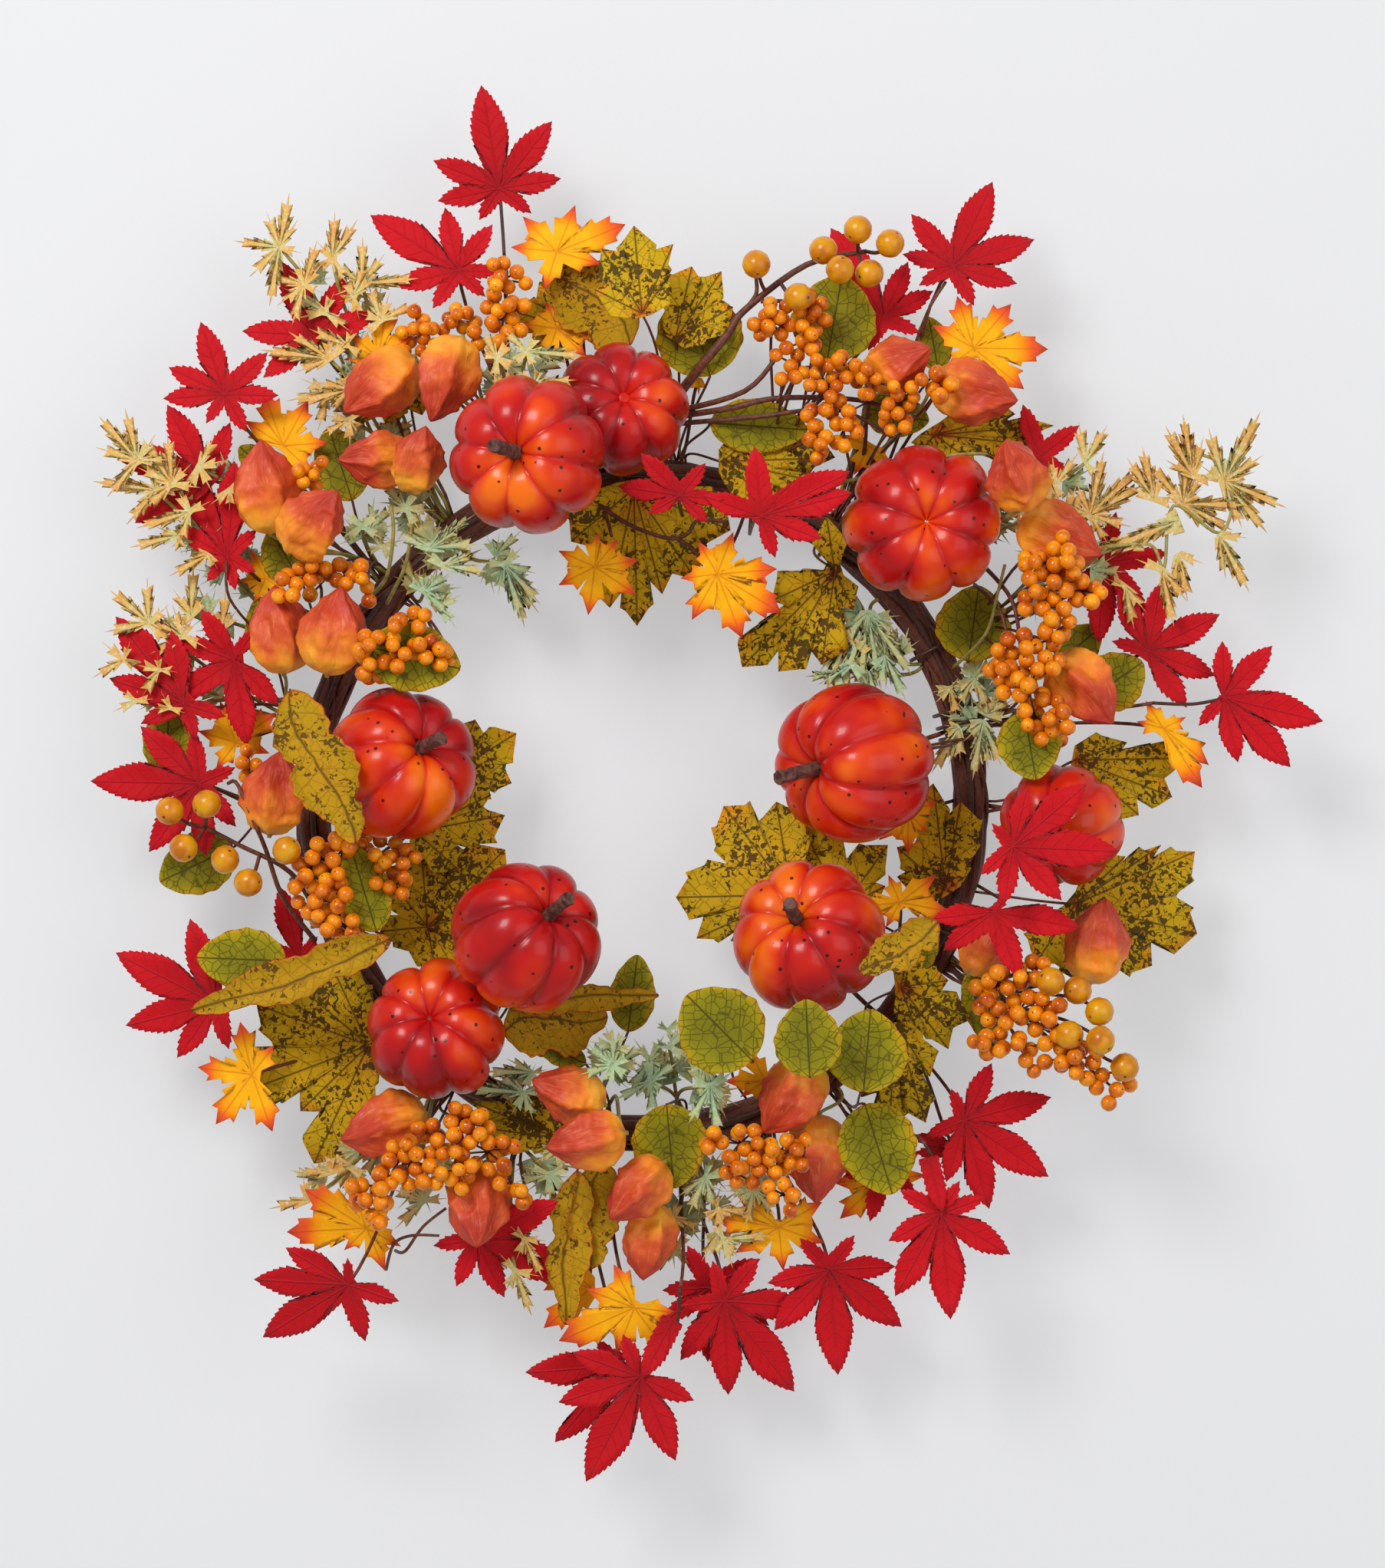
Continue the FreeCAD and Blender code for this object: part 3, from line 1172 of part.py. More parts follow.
saddle_front = "(Sizes.saddle_back - Sizes.hanging_back)"
saddle = box(
    "saddle",
    ("Sizes.saddle_length", "Sizes.saddle_thickness", "Sizes.saddle_height"),
    ("-Sizes.saddle_length / 2", saddle_front,
     "Sizes.ring_radius - Sizes.hanging_drop - Sizes.saddle_height / 2"),
)
web = box(
    "web",
    ("Sizes.tube_length", "-" + saddle_front, "Sizes.web_height"),
    ("-Sizes.tube_length / 2", saddle_front, leg_height + " - Sizes.web_height + 1"),
)
sleeve = rod("sleeve", "Sizes.loop_wire_radius + Sizes.tube_clearance + Sizes.tube_wall",
     "Sizes.tube_length")
bore = rod("bore", "Sizes.loop_wire_radius + Sizes.tube_clearance", "Sizes.tube_length + 2")
body = doc.addObject("Part::MultiFuse", "clip_body")
body.Shapes = [saddle, web, sleeve]
clip = doc.addObject("Part::Cut", "hanger_clip")
clip.Label = "hanger_clip"
clip.Base = body
clip.Tool = bore
keep(clip)

# The hanging loop: a straight leg, two short sides and a half circle over them.

loop_thin = size("loop_wire_radius")
half_wide = size("loop_width") / 2
leg_z = -size("loop_rise")
arch_z = loop_thin - half_wide
sideways = FreeCAD.Vector(1, 0, 0)
upward = FreeCAD.Vector(0, 0, 1)
left_foot = FreeCAD.Vector(-half_wide, 0, leg_z)
right_foot = FreeCAD.Vector(half_wide, 0, leg_z)
loop_pieces = [
    Part.makeCylinder(loop_thin, 2 * half_wide, left_foot, sideways),
    Part.makeSphere(loop_thin, left_foot),
    Part.makeSphere(loop_thin, right_foot),
    Part.makeCylinder(loop_thin, arch_z - leg_z, left_foot, upward),
    Part.makeCylinder(loop_thin, arch_z - leg_z, right_foot, upward),
]
arch_profile = Part.Face(Part.Wire(Part.makeCircle(loop_thin, FreeCAD.Vector(half_wide, 0, arch_z),
     upward)))
loop_pieces.append(arch_profile.revolve(FreeCAD.Vector(0, 0, arch_z), FreeCAD.Vector(0, -1, 0), 180))
loop = doc.addObject("Part::Feature", "hanger_loop")
loop.Label = "hanger_loop"
loop.Shape = loop_pieces[0].multiFuse(loop_pieces[1:])
loop.Placement = FreeCAD.Placement()
keep(loop)

# Pumpkins, and the stems of those whose stem end is in sight.

for name, x, z, height, axis, scale, has_stem in laid_pumpkins:
    pumpkin = doc.addObject("Part::Feature", name)
    pumpkin.Label = name
    pumpkin.Shape = mould_shape.scaled(scale)
    turned = FreeCAD.Placement(vector(x, z, height) + seat, turnTo(axis))
    pumpkin.Placement = turned
    keep(pumpkin)
    if not has_stem:
        continue
    half = "Sizes.pumpkin_half_height * %s" % scale
    foot = doc.addObject("Part::Cone", name + "_foot")
    foot.Radius1 = 0.2
    foot.setExpression("Radius2", "Sizes.stem_radius")
    foot.setExpression("Height", half + " * 0.151")
    foot.setExpression("Placement.Base.z", half + " * 0.713")
    stalk = doc.addObject("Part::Cone", name + "_stalk")
    stalk.setExpression("Radius1", "Sizes.stem_radius")
    stalk.setExpression("Radius2", "Sizes.stem_radius * 0.72")
    stalk.setExpression("Height", "Sizes.stem_length")
    stalk.setExpression("Placement.Base.z", half + " * 0.864")
    stem = doc.addObject("Part::MultiFuse", name.replace("pumpkin", "stem"))
    stem.Label = name.replace("pumpkin", "stem")
    stem.Shapes = [foot, stalk]
    stem.Placement = turned
    keep(stem)

pod_groups = {}
for where, pod in pod_solids:
    pod_groups.setdefault("pods_" + where, []).append(pod)

# Leaves: thin plates, with a small hole wherever a wire passes through.

def isInside(x, z, outline):
    inside = False
    for k, (x1, z1) in enumerate(outline):
        x2, z2 = outline[k - 1]
        if (z1 > z) != (z2 > z) and x < x1 + (z - z1) * (x2 - x1) / (z2 - z1):
            inside = not inside
    return inside


def plateShape(plate):
    x, z = plate["at"]
    slope = plate["slope"]
    corners = []
    for px, pz in plate["outline"]:
        height = plate["height"] + slope[0] * (px - x) + slope[1] * (pz - z)
        corners.append(vector(px, pz, height))
    face = Part.Face(Part.makePolygon(corners + corners[:1]))
    shape = face.extrude(FreeCAD.Vector(0, -leaf_thickness, 0))
    for i, j, low, high in drops:
        height = plate["height"] + slope[0] * (i - x) + slope[1] * (j - z)
        if not low < height < high - 0.8:
            continue
        near = [(i, j)] + [(i + 0.8 * a, j + 0.8 * b) for a, b in ((1, 0), (-1, 0), (0, 1), (0, -1))]
        if any(isInside(px, pz, plate["outline"]) for px, pz in near):
            hole = Part.makeCylinder(
                wire_radius + size("wire_hole_clearance"), 4 * leaf_thickness + 2,
                vector(i, j, height + leaf_thickness * 2 + 1), FreeCAD.Vector(0, 1, 0),
            )
            shape = shape.cut(hole)
    solids = sorted(shape.Solids, key=lambda solid: solid.Volume)
    return solids[-1]


leaf_names = {"red": "red_leaves_", "orange": "orange_leaves_", "speckled": "speckled_leaves_",
              "round": "round_leaves_", "rolled": "rolled_leaves_", "frosted": "frosted_sprigs_"}
leaf_groups = {}
for plate in plates:
    label = leaf_names[plate["kind"]] + quarter(*plate["at"])
    if plate["kind"] == "rolled":
        label = "rolled_leaves"
    if plate["kind"] == "round":
        label = "round_leaves_" + ("right" if plate["at"][0] > 0 else "left")
    leaf_groups.setdefault(label, []).append(plateShape(plate))

berry_groups = {}
for x, z, height, radius, bunch in laid_berries:
    if bunch is None:
        label = "large_berries_" + ("right" if x > 0 else "left")
    else:
        label = "berries_" + quarter(*small_bunches[bunch][2][0])
    berry_groups.setdefault(label, []).append(Part.makeSphere(radius, vector(x, z, height)))

wire_groups = {}
for where, points in wires:
    wire = bentWire(points, wire_radius)
    if any(points[0].distanceToPoint(middle) < 0.1 for middle in joint_balls):
        ball = Part.makeSphere(size("joint_ball_radius"), points[0])
        wire = wire.fuse(ball).Solids[0]
    wire_groups.setdefault("wires_" + where, []).append(wire)

for where, twig in twigs:
    wire_groups.setdefault("wires_" + where, []).append(twig)

# The bending pieces, each one solid with its own stalk.

stalk_radius = size("stalk_radius")
stalk_start = size("joint_ball_radius") + size("joint_gap")


def stalkPoints(points):
    # The same way, but starting clear of the ball of its joint.
    first, second = points[0], points[1]
    way = second.sub(first)
    way.normalize()
    return [first.add(way * stalk_start)] + points[1:]


for name, piece in bending.items():
    height = piece["height"]
    solids = []
    for outline in piece["outlines"]:
        corners = [vector(x, z, height) for x, z in outline]
        face = Part.Face(Part.makePolygon(corners + corners[:1]))
        solids.append(face.extrude(FreeCAD.Vector(0, -leaf_thickness, 0)))
    way = [vector(x, z, height + leaf_thickness / 2) for x, z in piece["stalk"]]
    solids.append(bentWire(stalkPoints(way), stalk_radius))
    whole = solids[0].multiFuse(solids[1:])
    print(name, "solids", len(whole.Solids), "joint", piece["stalk"][0], "height", round(height, 1))
    keep(group(name, whole.Solids))

ball_middle = vector(swing_x, swing_z, swing_height)
pumpkin = pumpkin_solids[bending_pumpkin]
inside = pumpkin.common(Part.makeLine(ball_middle, pumpkin.BoundBox.Center))
reach = min(ball_middle.distanceToPoint(vertex.Point) for vertex in inside.Vertexes) - 0.35
toward = pumpkin.BoundBox.Center.sub(ball_middle)
toward.normalize()
way = [ball_middle, ball_middle.add(toward * reach)]
keep(group("pumpkin_4_wire", [bentWire(stalkPoints(way), stalk_radius)]))

for groups in (leaf_groups, pod_groups, berry_groups, wire_groups):
    for label in sorted(groups):
        keep(group(label, groups[label]))

doc.recompute()

# ----------------------------------------------------------------- checks

for obj in doc.Objects:
    if "Invalid" in obj.State or "Error" in obj.State:
        raise RuntimeError("%s is %s" % (obj.Label, obj.State))
for obj in subparts:
    if obj.Shape.isNull() or not obj.Shape.isValid():
        raise RuntimeError("%s has no valid shape" % obj.Label)
    obj.Shape.exportStep("parts/%s.step" % obj.Label)
print("sub-parts", len(subparts))
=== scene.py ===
import json
import math
import random

import bpy
import numpy as np
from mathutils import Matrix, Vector, noise
from mathutils.bvhtree import BVHTree

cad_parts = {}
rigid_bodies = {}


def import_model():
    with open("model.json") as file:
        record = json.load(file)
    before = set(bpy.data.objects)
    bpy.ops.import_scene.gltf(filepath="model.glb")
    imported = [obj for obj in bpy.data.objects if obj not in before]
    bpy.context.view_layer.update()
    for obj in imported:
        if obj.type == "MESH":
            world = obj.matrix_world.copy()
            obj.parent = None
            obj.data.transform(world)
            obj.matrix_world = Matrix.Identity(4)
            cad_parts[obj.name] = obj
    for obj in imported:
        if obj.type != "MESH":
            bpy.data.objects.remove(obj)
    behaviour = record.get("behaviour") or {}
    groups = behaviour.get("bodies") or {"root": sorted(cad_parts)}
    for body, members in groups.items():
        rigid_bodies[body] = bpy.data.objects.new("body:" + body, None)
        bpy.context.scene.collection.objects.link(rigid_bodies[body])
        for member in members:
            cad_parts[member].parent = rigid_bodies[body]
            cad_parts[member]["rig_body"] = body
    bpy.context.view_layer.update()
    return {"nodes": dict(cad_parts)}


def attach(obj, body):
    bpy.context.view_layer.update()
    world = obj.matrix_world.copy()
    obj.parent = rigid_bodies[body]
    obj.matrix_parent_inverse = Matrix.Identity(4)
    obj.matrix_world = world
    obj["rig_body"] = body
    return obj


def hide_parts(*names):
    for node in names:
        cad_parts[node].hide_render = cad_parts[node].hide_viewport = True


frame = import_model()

print("frame loaded")

mm = 0.001
ringReach = 145  # mm from the middle of the ring to the middle of its canes
ringMiddle = Vector((0.0, -0.0124, -0.165))  # middle of the vine ring, behind the leaves
ringForward, ringLow = 12.4, 165  # the same in mm
nodes = frame["nodes"]
cornerWords = ("top_left", "top_right", "bottom_left", "bottom_right")
bpy.ops.object.select_all(action="DESELECT")


def linear(hexText):
    # sRGB hex to the linear colour that the nodes want
    parts = [int(hexText[k:k + 2], 16) / 255 for k in (1, 3, 5)]
    return tuple(p / 12.92 if p <= 0.04045 else ((p + 0.055) / 1.055) ** 2.4 for p in parts) + (1.0,)


def addNode(tree, kind, inputs=None, out=0, stops=None, **settings):
    # one shader node with its settings, values, links and colour stops
    node = tree.nodes.new("ShaderNode" + kind)
    for name, value in settings.items():
        setattr(node, name, value)
    for name, value in (inputs or {}).items():
        if isinstance(value, bpy.types.NodeSocket):
            tree.links.new(value, node.inputs[name])
        else:
            node.inputs[name].default_value = value
    if stops:
        marks = node.color_ramp.elements
        marks.remove(marks[1])
        marks[0].position, marks[0].color = stops[0][0], linear(stops[0][1])
        for place, colour in stops[1:]:
            marks.new(place).color = linear(colour)
    return node.outputs[out] if node.outputs else None


def newMaterial(name, sockets):
    # an empty material with its shader and the object's own coordinates
    material = bpy.data.materials.new(name)
    material.use_nodes = True
    tree = material.node_tree
    tree.nodes.clear()
    shader = addNode(tree, "BsdfPrincipled", sockets).node
    addNode(tree, "OutputMaterial", {"Surface": shader.outputs[0]})
    return material, tree, shader, addNode(tree, "TexCoord", out="Object")


def mapPair(tree, label):
    # a UV map of the piece and its two values
    place = addNode(tree, "UVMap", uv_map=label)
    halves = addNode(tree, "SeparateXYZ", {0: place}).node.outputs
    return place, halves[0], halves[1]


def dressed(material, tree, shader, colour, *bumps):
    # joins the colour and the bumps, each (height, strength, metres), to the shader
    tree.links.new(colour, shader.inputs["Base Color"])
    normal = {}
    for height, strength, deep in bumps:
        bump = addNode(tree, "Bump", {"Height": height, "Strength": strength, "Distance": deep, **normal})
        normal = {"Normal": bump}
    for bump in normal.values():
        tree.links.new(bump, shader.inputs["Normal"])
    return material


def dyedFabric(name, look):
    # woven polyester cut with a die and dyed: a mottled ground, printed veins and a pressed rib
    material, tree, shader, spot = newMaterial(
        name, {"Roughness": look["roughness"], "Sheen Weight": look["sheen"], "Specular IOR Level": look["shine"]})
    _, along, away = mapPair(tree, "leafPlace")
    _, reach, shade = mapPair(tree, "leafSpan")
    # the dye runs from the junction to the tips, with blots about as wide as blotScale says
    blots = addNode(tree, "TexNoise", {"Vector": spot, "Scale": look["blotScale"], "Detail": 4.0})
    low = addNode(tree, "Math", {0: blots, 1: look["blots"], 2: -look["blots"] / 2}, operation="MULTIPLY_ADD")
    dyeAt = addNode(tree, "Math", {0: reach, 1: low}, operation="ADD")
    colour = addNode(tree, "ValToRGB", {0: dyeAt}, stops=look["dye"])
    # midribs and slanting side veins, from the place on the lobe in 10 mm steps
    rib = addNode(tree, "MapRange", {0: away, 2: look["ribWidth"], 3: 1.0, 4: 0.0})
    slant = addNode(tree, "Math", {0: away, 1: -look["sideSlant"], 2: along}, operation="MULTIPLY_ADD")
    off = addNode(tree, "Math", {0: slant, 1: look["sideStep"] / 2}, operation="PINGPONG")
    side = addNode(tree, "MapRange", {0: off, 2: look["sideWidth"], 3: look["sideDepth"], 4: 0.0})
    lines = addNode(tree, "Math", {0: rib, 1: side}, operation="MAXIMUM")
    printed = lines
    if look.get("net"):
        # a net of fine veins, its cells netCell metres wide
        net = addNode(tree, "TexVoronoi", {"Vector": spot, "Scale": 1 / look["netCell"]}, feature="DISTANCE_TO_EDGE")
        net = addNode(tree, "MapRange", {0: net, 2: look["netWidth"], 3: look["net"], 4: 0.0})
        printed = addNode(tree, "Math", {0: lines, 1: net}, operation="MAXIMUM")
    if look.get("dashes"):
        # printed dashes about 1 mm long, in patches
        dots = addNode(
            tree, "TexNoise", {"Vector": spot, "Scale": look["dashScale"], "Detail": 1.5, "Distortion": 0.9})
        patch = addNode(tree, "TexNoise", {"Vector": spot, "Scale": look["patchScale"], "Detail": 2.0})
        much = addNode(tree, "Math", {0: patch, 1: look["patches"], 2: dots}, operation="MULTIPLY_ADD")
        dash = addNode(tree, "MapRange", {0: much, 1: look["dashes"], 2: look["dashes"] + 0.03, 3: 0.0, 4: 0.95})
        printed = addNode(tree, "Math", {0: printed, 1: dash}, operation="MAXIMUM")
    ink = addNode(tree, "Math", {0: printed, 1: look["ink"]}, operation="MULTIPLY")
    colour = addNode(tree, "Mix", {0: ink, 6: colour, 7: linear(look["veins"])}, out=2, data_type="RGBA")
    # no two leaves have quite the same strength of dye
    fine = addNode(tree, "TexNoise", {"Vector": spot, "Scale": look["fineScale"], "Detail": 2.0})
    tone = addNode(tree, "Math", {0: shade, 1: look["shades"], 2: fine}, operation="MULTIPLY_ADD")
    tone = addNode(tree, "MapRange", {0: tone, 2: 1.0 + look["shades"], 3: look["dull"], 4: look["bright"]})
    colour = addNode(tree, "HueSaturation", {"Color": colour, "Value": tone, "Saturation": look["rich"]})
    # the thread is drawn 0.9 mm wide, twice its real width, so that it shows
    threads = [addNode(tree, "TexWave", {"Vector": spot, "Scale": look["threads"], "Distortion": 0.5}, out="Fac",
                       bands_direction=way) for way in ("X", "Z")]
    weave = addNode(tree, "Math", {0: threads[0], 1: threads[1]}, operation="MULTIPLY")
    return dressed(material, tree, shader, colour, (weave, look["weave"], 0.00012), (lines, look["press"], 0.0005))


leafDye = dict(
    blotScale=60.0, blots=0.4, ribWidth=0.06, sideWidth=0.05, sideStep=0.5, sideDepth=0.4, sideSlant=0.9, ink=0.4,
    shades=0.6, dull=0.82, bright=1.14, rich=1.03, fineScale=700.0, weave=0.3, threads=177.0, press=0.4,
    roughness=0.72, sheen=0.08, shine=0.22, dashScale=430.0, patchScale=55.0, patches=0.62,
)
redFabric = dyedFabric("dyedRedPolyester", dict(
    leafDye, dye=((0.0, "#A3131B"), (0.3, "#BD1820"), (0.7, "#C71D25"), (1.0, "#CF2A31")), veins="#DA444C",
    ink=0.3, dull=0.76, press=1.0, sideStep=0.55,
))
orangeFabric = dyedFabric("dyedOrangePolyester", dict(
    leafDye, dye=((0.0, "#F3A60C"), (0.48, "#FCB20E"), (0.66, "#F7951C"), (0.8, "#EC6438"), (1.0, "#DC463A")),
    veins="#B5561C", dull=0.92, blots=0.3, ink=0.5, sideDepth=0.2,
))
speckledFabric = dyedFabric("printedMapleFabric", dict(
    leafDye, dye=((0.0, "#C0601C"), (0.2, "#C99C08"), (0.5, "#CFA206"), (0.8, "#BE9C08"), (1.0, "#DE9212")),
    veins="#2C1A08", dashes=0.865, ink=0.92, blots=0.7, ribWidth=0.07, sideDepth=0.75, sideStep=1.3,
    sideWidth=0.045, net=0.5, netCell=0.006, netWidth=0.06, dull=0.9,
))
roundFabric = dyedFabric("printedRoundLeafFabric", dict(
    leafDye, dye=((0.0, "#7A7408"), (0.45, "#958A0A"), (0.7, "#A8930E"), (1.0, "#C4941A")), veins="#332408",
    ink=0.95, sideDepth=0.8, sideStep=0.85, sideWidth=0.035, net=0.75, netCell=0.0045, netWidth=0.07, blots=1.2,
))
rolledFabric = dyedFabric("printedRolledLeafFabric", dict(
    leafDye, dye=((0.0, "#B98A10"), (0.5, "#AF8A12"), (0.85, "#C9831A"), (1.0, "#A8561C")), veins="#3A230C",
    dashes=0.92, ink=0.85, sideDepth=0.5, sideStep=0.9, net=0.4, netCell=0.005, netWidth=0.07,
))


def frostedMould(name, look):
    # moulded soft plastic, brushed with pale frost that fades to tan at the ends
    material, tree, shader, spot = newMaterial(name, {"Roughness": 0.58, "Specular IOR Level": 0.35})
    _, reach, shade = mapPair(tree, "leafSpan")
    blots = addNode(tree, "TexNoise", {"Vector": spot, "Scale": look["blotScale"], "Detail": 4.0})
    mixAt = addNode(tree, "Math", {0: reach, 1: look["tipTan"], 2: blots}, operation="MULTIPLY_ADD")
    mixAt = addNode(tree, "Math", {0: shade, 1: look["leafTan"], 2: mixAt}, operation="MULTIPLY_ADD")
    fade = addNode(tree, "MapRange", {0: mixAt, 2: look["fadeOver"]})
    colour = addNode(tree, "ValToRGB", {0: fade}, stops=look["dye"])
    dust = addNode(tree, "TexNoise", {"Vector": spot, "Scale": look["dustScale"], "Detail": 3.0})
    frost = addNode(tree, "MapRange", {0: dust, 1: 0.5, 2: 0.7, 3: 0.0, 4: look["frost"]})
    colour = addNode(tree, "Mix", {0: frost, 6: colour, 7: linear(look["dust"])}, out=2, data_type="RGBA")
    return dressed(material, tree, shader, colour, (dust, 0.4, 0.0003))


def lacqueredFoam(name, look):
    # moulded foam, sprayed red over orange, flecked with black and lacquered
    material, tree, shader, spot = newMaterial(
        name, {"Roughness": 0.3, "Coat Weight": 0.12, "Coat Roughness": 0.1, "Specular IOR Level": 0.24})
    _, groove, orange = mapPair(tree, "skinPlace")
    cloud = addNode(tree, "TexNoise", {"Vector": spot, "Scale": look["cloudScale"], "Detail": 2.5})
    sprayAt = addNode(tree, "Math", {0: cloud, 1: look["contrast"], 2: orange}, operation="MULTIPLY_ADD")
    # the valleys between the lobes are drawn darker red than the ridges, by grooveRed
    sprayAt = addNode(tree, "Math", {0: groove, 1: -look["grooveRed"], 2: sprayAt}, operation="MULTIPLY_ADD")
    fade = addNode(tree, "MapRange", {0: sprayAt, 1: look["fadeFrom"], 2: look["fadeTo"]})
    colour = addNode(tree, "ValToRGB", {0: fade}, stops=look["dye"])
    # flecks 1 to 2 mm wide, about one to each 15 mm square
    fleck = addNode(tree, "TexVoronoi", {"Vector": spot, "Scale": look["fleckScale"]}, out="Distance")
    fleck = addNode(tree, "MapRange", {0: fleck, 1: look["fleck"], 2: look["fleck"] + 0.035, 3: 0.92, 4: 0.0})
    colour = addNode(tree, "Mix", {0: fleck, 6: colour, 7: linear(look["fleckInk"])}, out=2, data_type="RGBA")
    skinGrain = addNode(tree, "TexNoise", {"Vector": spot, "Scale": 420.0, "Detail": 3.0})
    return dressed(material, tree, shader, colour, (skinGrain, 0.14, 0.0003))


def grainy(name, dark, light, grain, sockets, stretch=None, press=0.6):
    # streaked or mottled ground with a coarse bump: bark, rubbed foam, twigs and painted wire
    material, tree, shader, spot = newMaterial(name, sockets)
    if stretch:
        spot = addNode(tree, "UVMap", uv_map="canePlace")
    spot = addNode(tree, "Mapping", {"Vector": spot, "Scale": stretch or (1.0, 1.0, 1.0)})
    streak = addNode(tree, "TexNoise", {"Vector": spot, "Scale": grain, "Detail": 5.0, "Roughness": 0.62})
    colour = addNode(tree, "ValToRGB", {0: streak}, stops=((0.32, dark), (0.68, light)))
    return dressed(material, tree, shader, colour, (streak, press, 0.0007))


def dippedBerry(name, stops, roughness):
    # foam ball dipped in lacquer: uneven colour under a gloss
    material, tree, shader, spot = newMaterial(
        name, {"Roughness": roughness, "Coat Weight": 0.25, "Coat Roughness": 0.05, "Specular IOR Level": 0.3})
    cloud = addNode(tree, "TexNoise", {"Vector": spot, "Scale": 110.0, "Detail": 2.0})
    return dressed(material, tree, shader, addNode(tree, "ValToRGB", {0: cloud}, stops=stops))


def lanternPaper(name, look):
    # thin crumpled paper: orange by the stem, coral at the point, fine pale creases
    material, tree, shader, spot = newMaterial(name, {"Roughness": 0.5, "Specular IOR Level": 0.35})
    podUv, _, down = mapPair(tree, "podPlace")
    cloud = addNode(tree, "TexNoise", {"Vector": spot, "Scale": look["cloudScale"], "Detail": 4.0})
    fadeAt = addNode(tree, "Math", {0: cloud, 1: look["contrast"], 2: down}, operation="MULTIPLY_ADD")
    fade = addNode(tree, "MapRange", {0: fadeAt, 1: look["fadeFrom"], 2: look["fadeTo"]})
    colour = addNode(tree, "ValToRGB", {0: fade}, stops=look["dye"])
    stretched = addNode(tree, "Mapping", {"Vector": podUv, "Scale": look["creaseStretch"]})
    lines = addNode(tree, "TexNoise", {"Vector": stretched, "Scale": 1.6, "Detail": 4.0, "Distortion": 0.7})
    pale = addNode(tree, "MapRange", {0: lines, 1: 0.55, 2: 0.75, 3: 0.0, 4: look["pale"]})
    colour = addNode(tree, "Mix", {0: pale, 6: colour, 7: linear(look["crease"])}, out=2, data_type="RGBA")
    crush = addNode(tree, "TexNoise", {"Vector": spot, "Scale": 230.0, "Detail": 3.0})
    return dressed(material, tree, shader, colour, (lines, 0.45, 0.0009), (crush, 0.4, 0.0008))


frostedPlastic = frostedMould("frostedPlastic", dict(
    dye=((0.3, "#94B690"), (0.5, "#ABC08A"), (0.66, "#C6BC74"), (0.82, "#D8AC54"), (0.96, "#D69A42")),
    blotScale=150.0, tipTan=0.45, leafTan=0.8, fadeOver=1.7, dust="#E3E2CB", dustScale=900.0, frost=0.5,
))
foamSkin = lacqueredFoam("lacqueredFoam", dict(
    dye=((0.26, "#960A12"), (0.47, "#BE1210"), (0.6, "#CC230C"), (0.73, "#E0430A"), (0.88, "#F06C0C")),
    cloudScale=26.0, contrast=2.1, grooveRed=0.3, fadeFrom=0.25, fadeTo=1.6,
    fleckScale=150.0, fleck=0.11, fleckInk="#1E0908",
))
paperSkin = lanternPaper("crumpledLanternPaper", dict(
    dye=((0.06, "#F8B032"), (0.26, "#F08C1E"), (0.44, "#DC5F24"), (0.62, "#C94222"), (0.9, "#B5301E")),
    cloudScale=70.0, contrast=1.1, fadeFrom=0.42, fadeTo=1.7, creaseStretch=(26.0, 3.2, 1.0), crease="#F2A65A",
    pale=0.35,
))
matt = {"Roughness": 0.75, "Specular IOR Level": 0.3}
waxed = {"Roughness": 0.5, "Specular IOR Level": 0.4}
rubbedFoam = grainy("rubbedFoam", "#331A18", "#7C5248", 300.0, matt)
caneBark = grainy("caneBark", "#3B170E", "#7F4129", 5.0, waxed, stretch=(0.9, 5.0, 1.0))
twigBark = grainy("twigBark", "#451F14", "#7E452E", 380.0, waxed)
greenStalk = grainy("mouldedGreenStalk", "#7C7A35", "#B5A254", 260.0, waxed, press=0.2)
paintedWire = grainy("paintedWire", "#2E1710", "#57301F", 600.0, waxed, press=0.2)
lacqueredSteel = grainy("lacqueredSteel", "#3E2A20", "#6A4E3E", 600.0, {"Roughness": 0.4, "Metallic": 0.5}, press=0.2)
bareSteel = grainy("bareSteel", "#8A857E", "#B4AFA6", 900.0, {"Roughness": 0.32, "Metallic": 1.0}, press=0.1)
smallBerrySkin = dippedBerry(
    "lacqueredSmallBerry", ((0.3, "#B04404"), (0.44, "#DC7202"), (0.58, "#F08C02"), (0.74, "#F8A808")), 0.16)
largeBerrySkin = dippedBerry(
    "satinLargeBerry", ((0.32, "#BC6A02"), (0.5, "#D68A02"), (0.66, "#DE9E02"), (0.8, "#C49204")), 0.3)
print("materials ready")


def solidsOf(node):
    # the separate solids of a node: welded corners and triangles
    mesh = nodes[node].data
    mesh.calc_loop_triangles()
    corners = np.array([v.co for v in mesh.vertices])
    keys, welded = np.unique(np.round(corners * 1e6).astype(np.int64), axis=0, return_inverse=True)
    welded = welded.reshape(-1)
    points = keys * 1e-6
    tris = np.array([[welded[i] for i in t.vertices] for t in mesh.loop_triangles])
    parent = list(range(len(points)))

    def root(i):
        while parent[i] != i:
            parent[i] = parent[parent[i]]
            i = parent[i]
        return i

    for a, b, c in tris:
        parent[root(b)] = root(a)
        parent[root(c)] = root(a)
    groups = {}
    for k, (a, b, c) in enumerate(tris):
        groups.setdefault(root(a), []).append(k)
    found = []
    for members in groups.values():
        part = tris[members]
        found.append((points, part, points[np.unique(part)]))
    return found


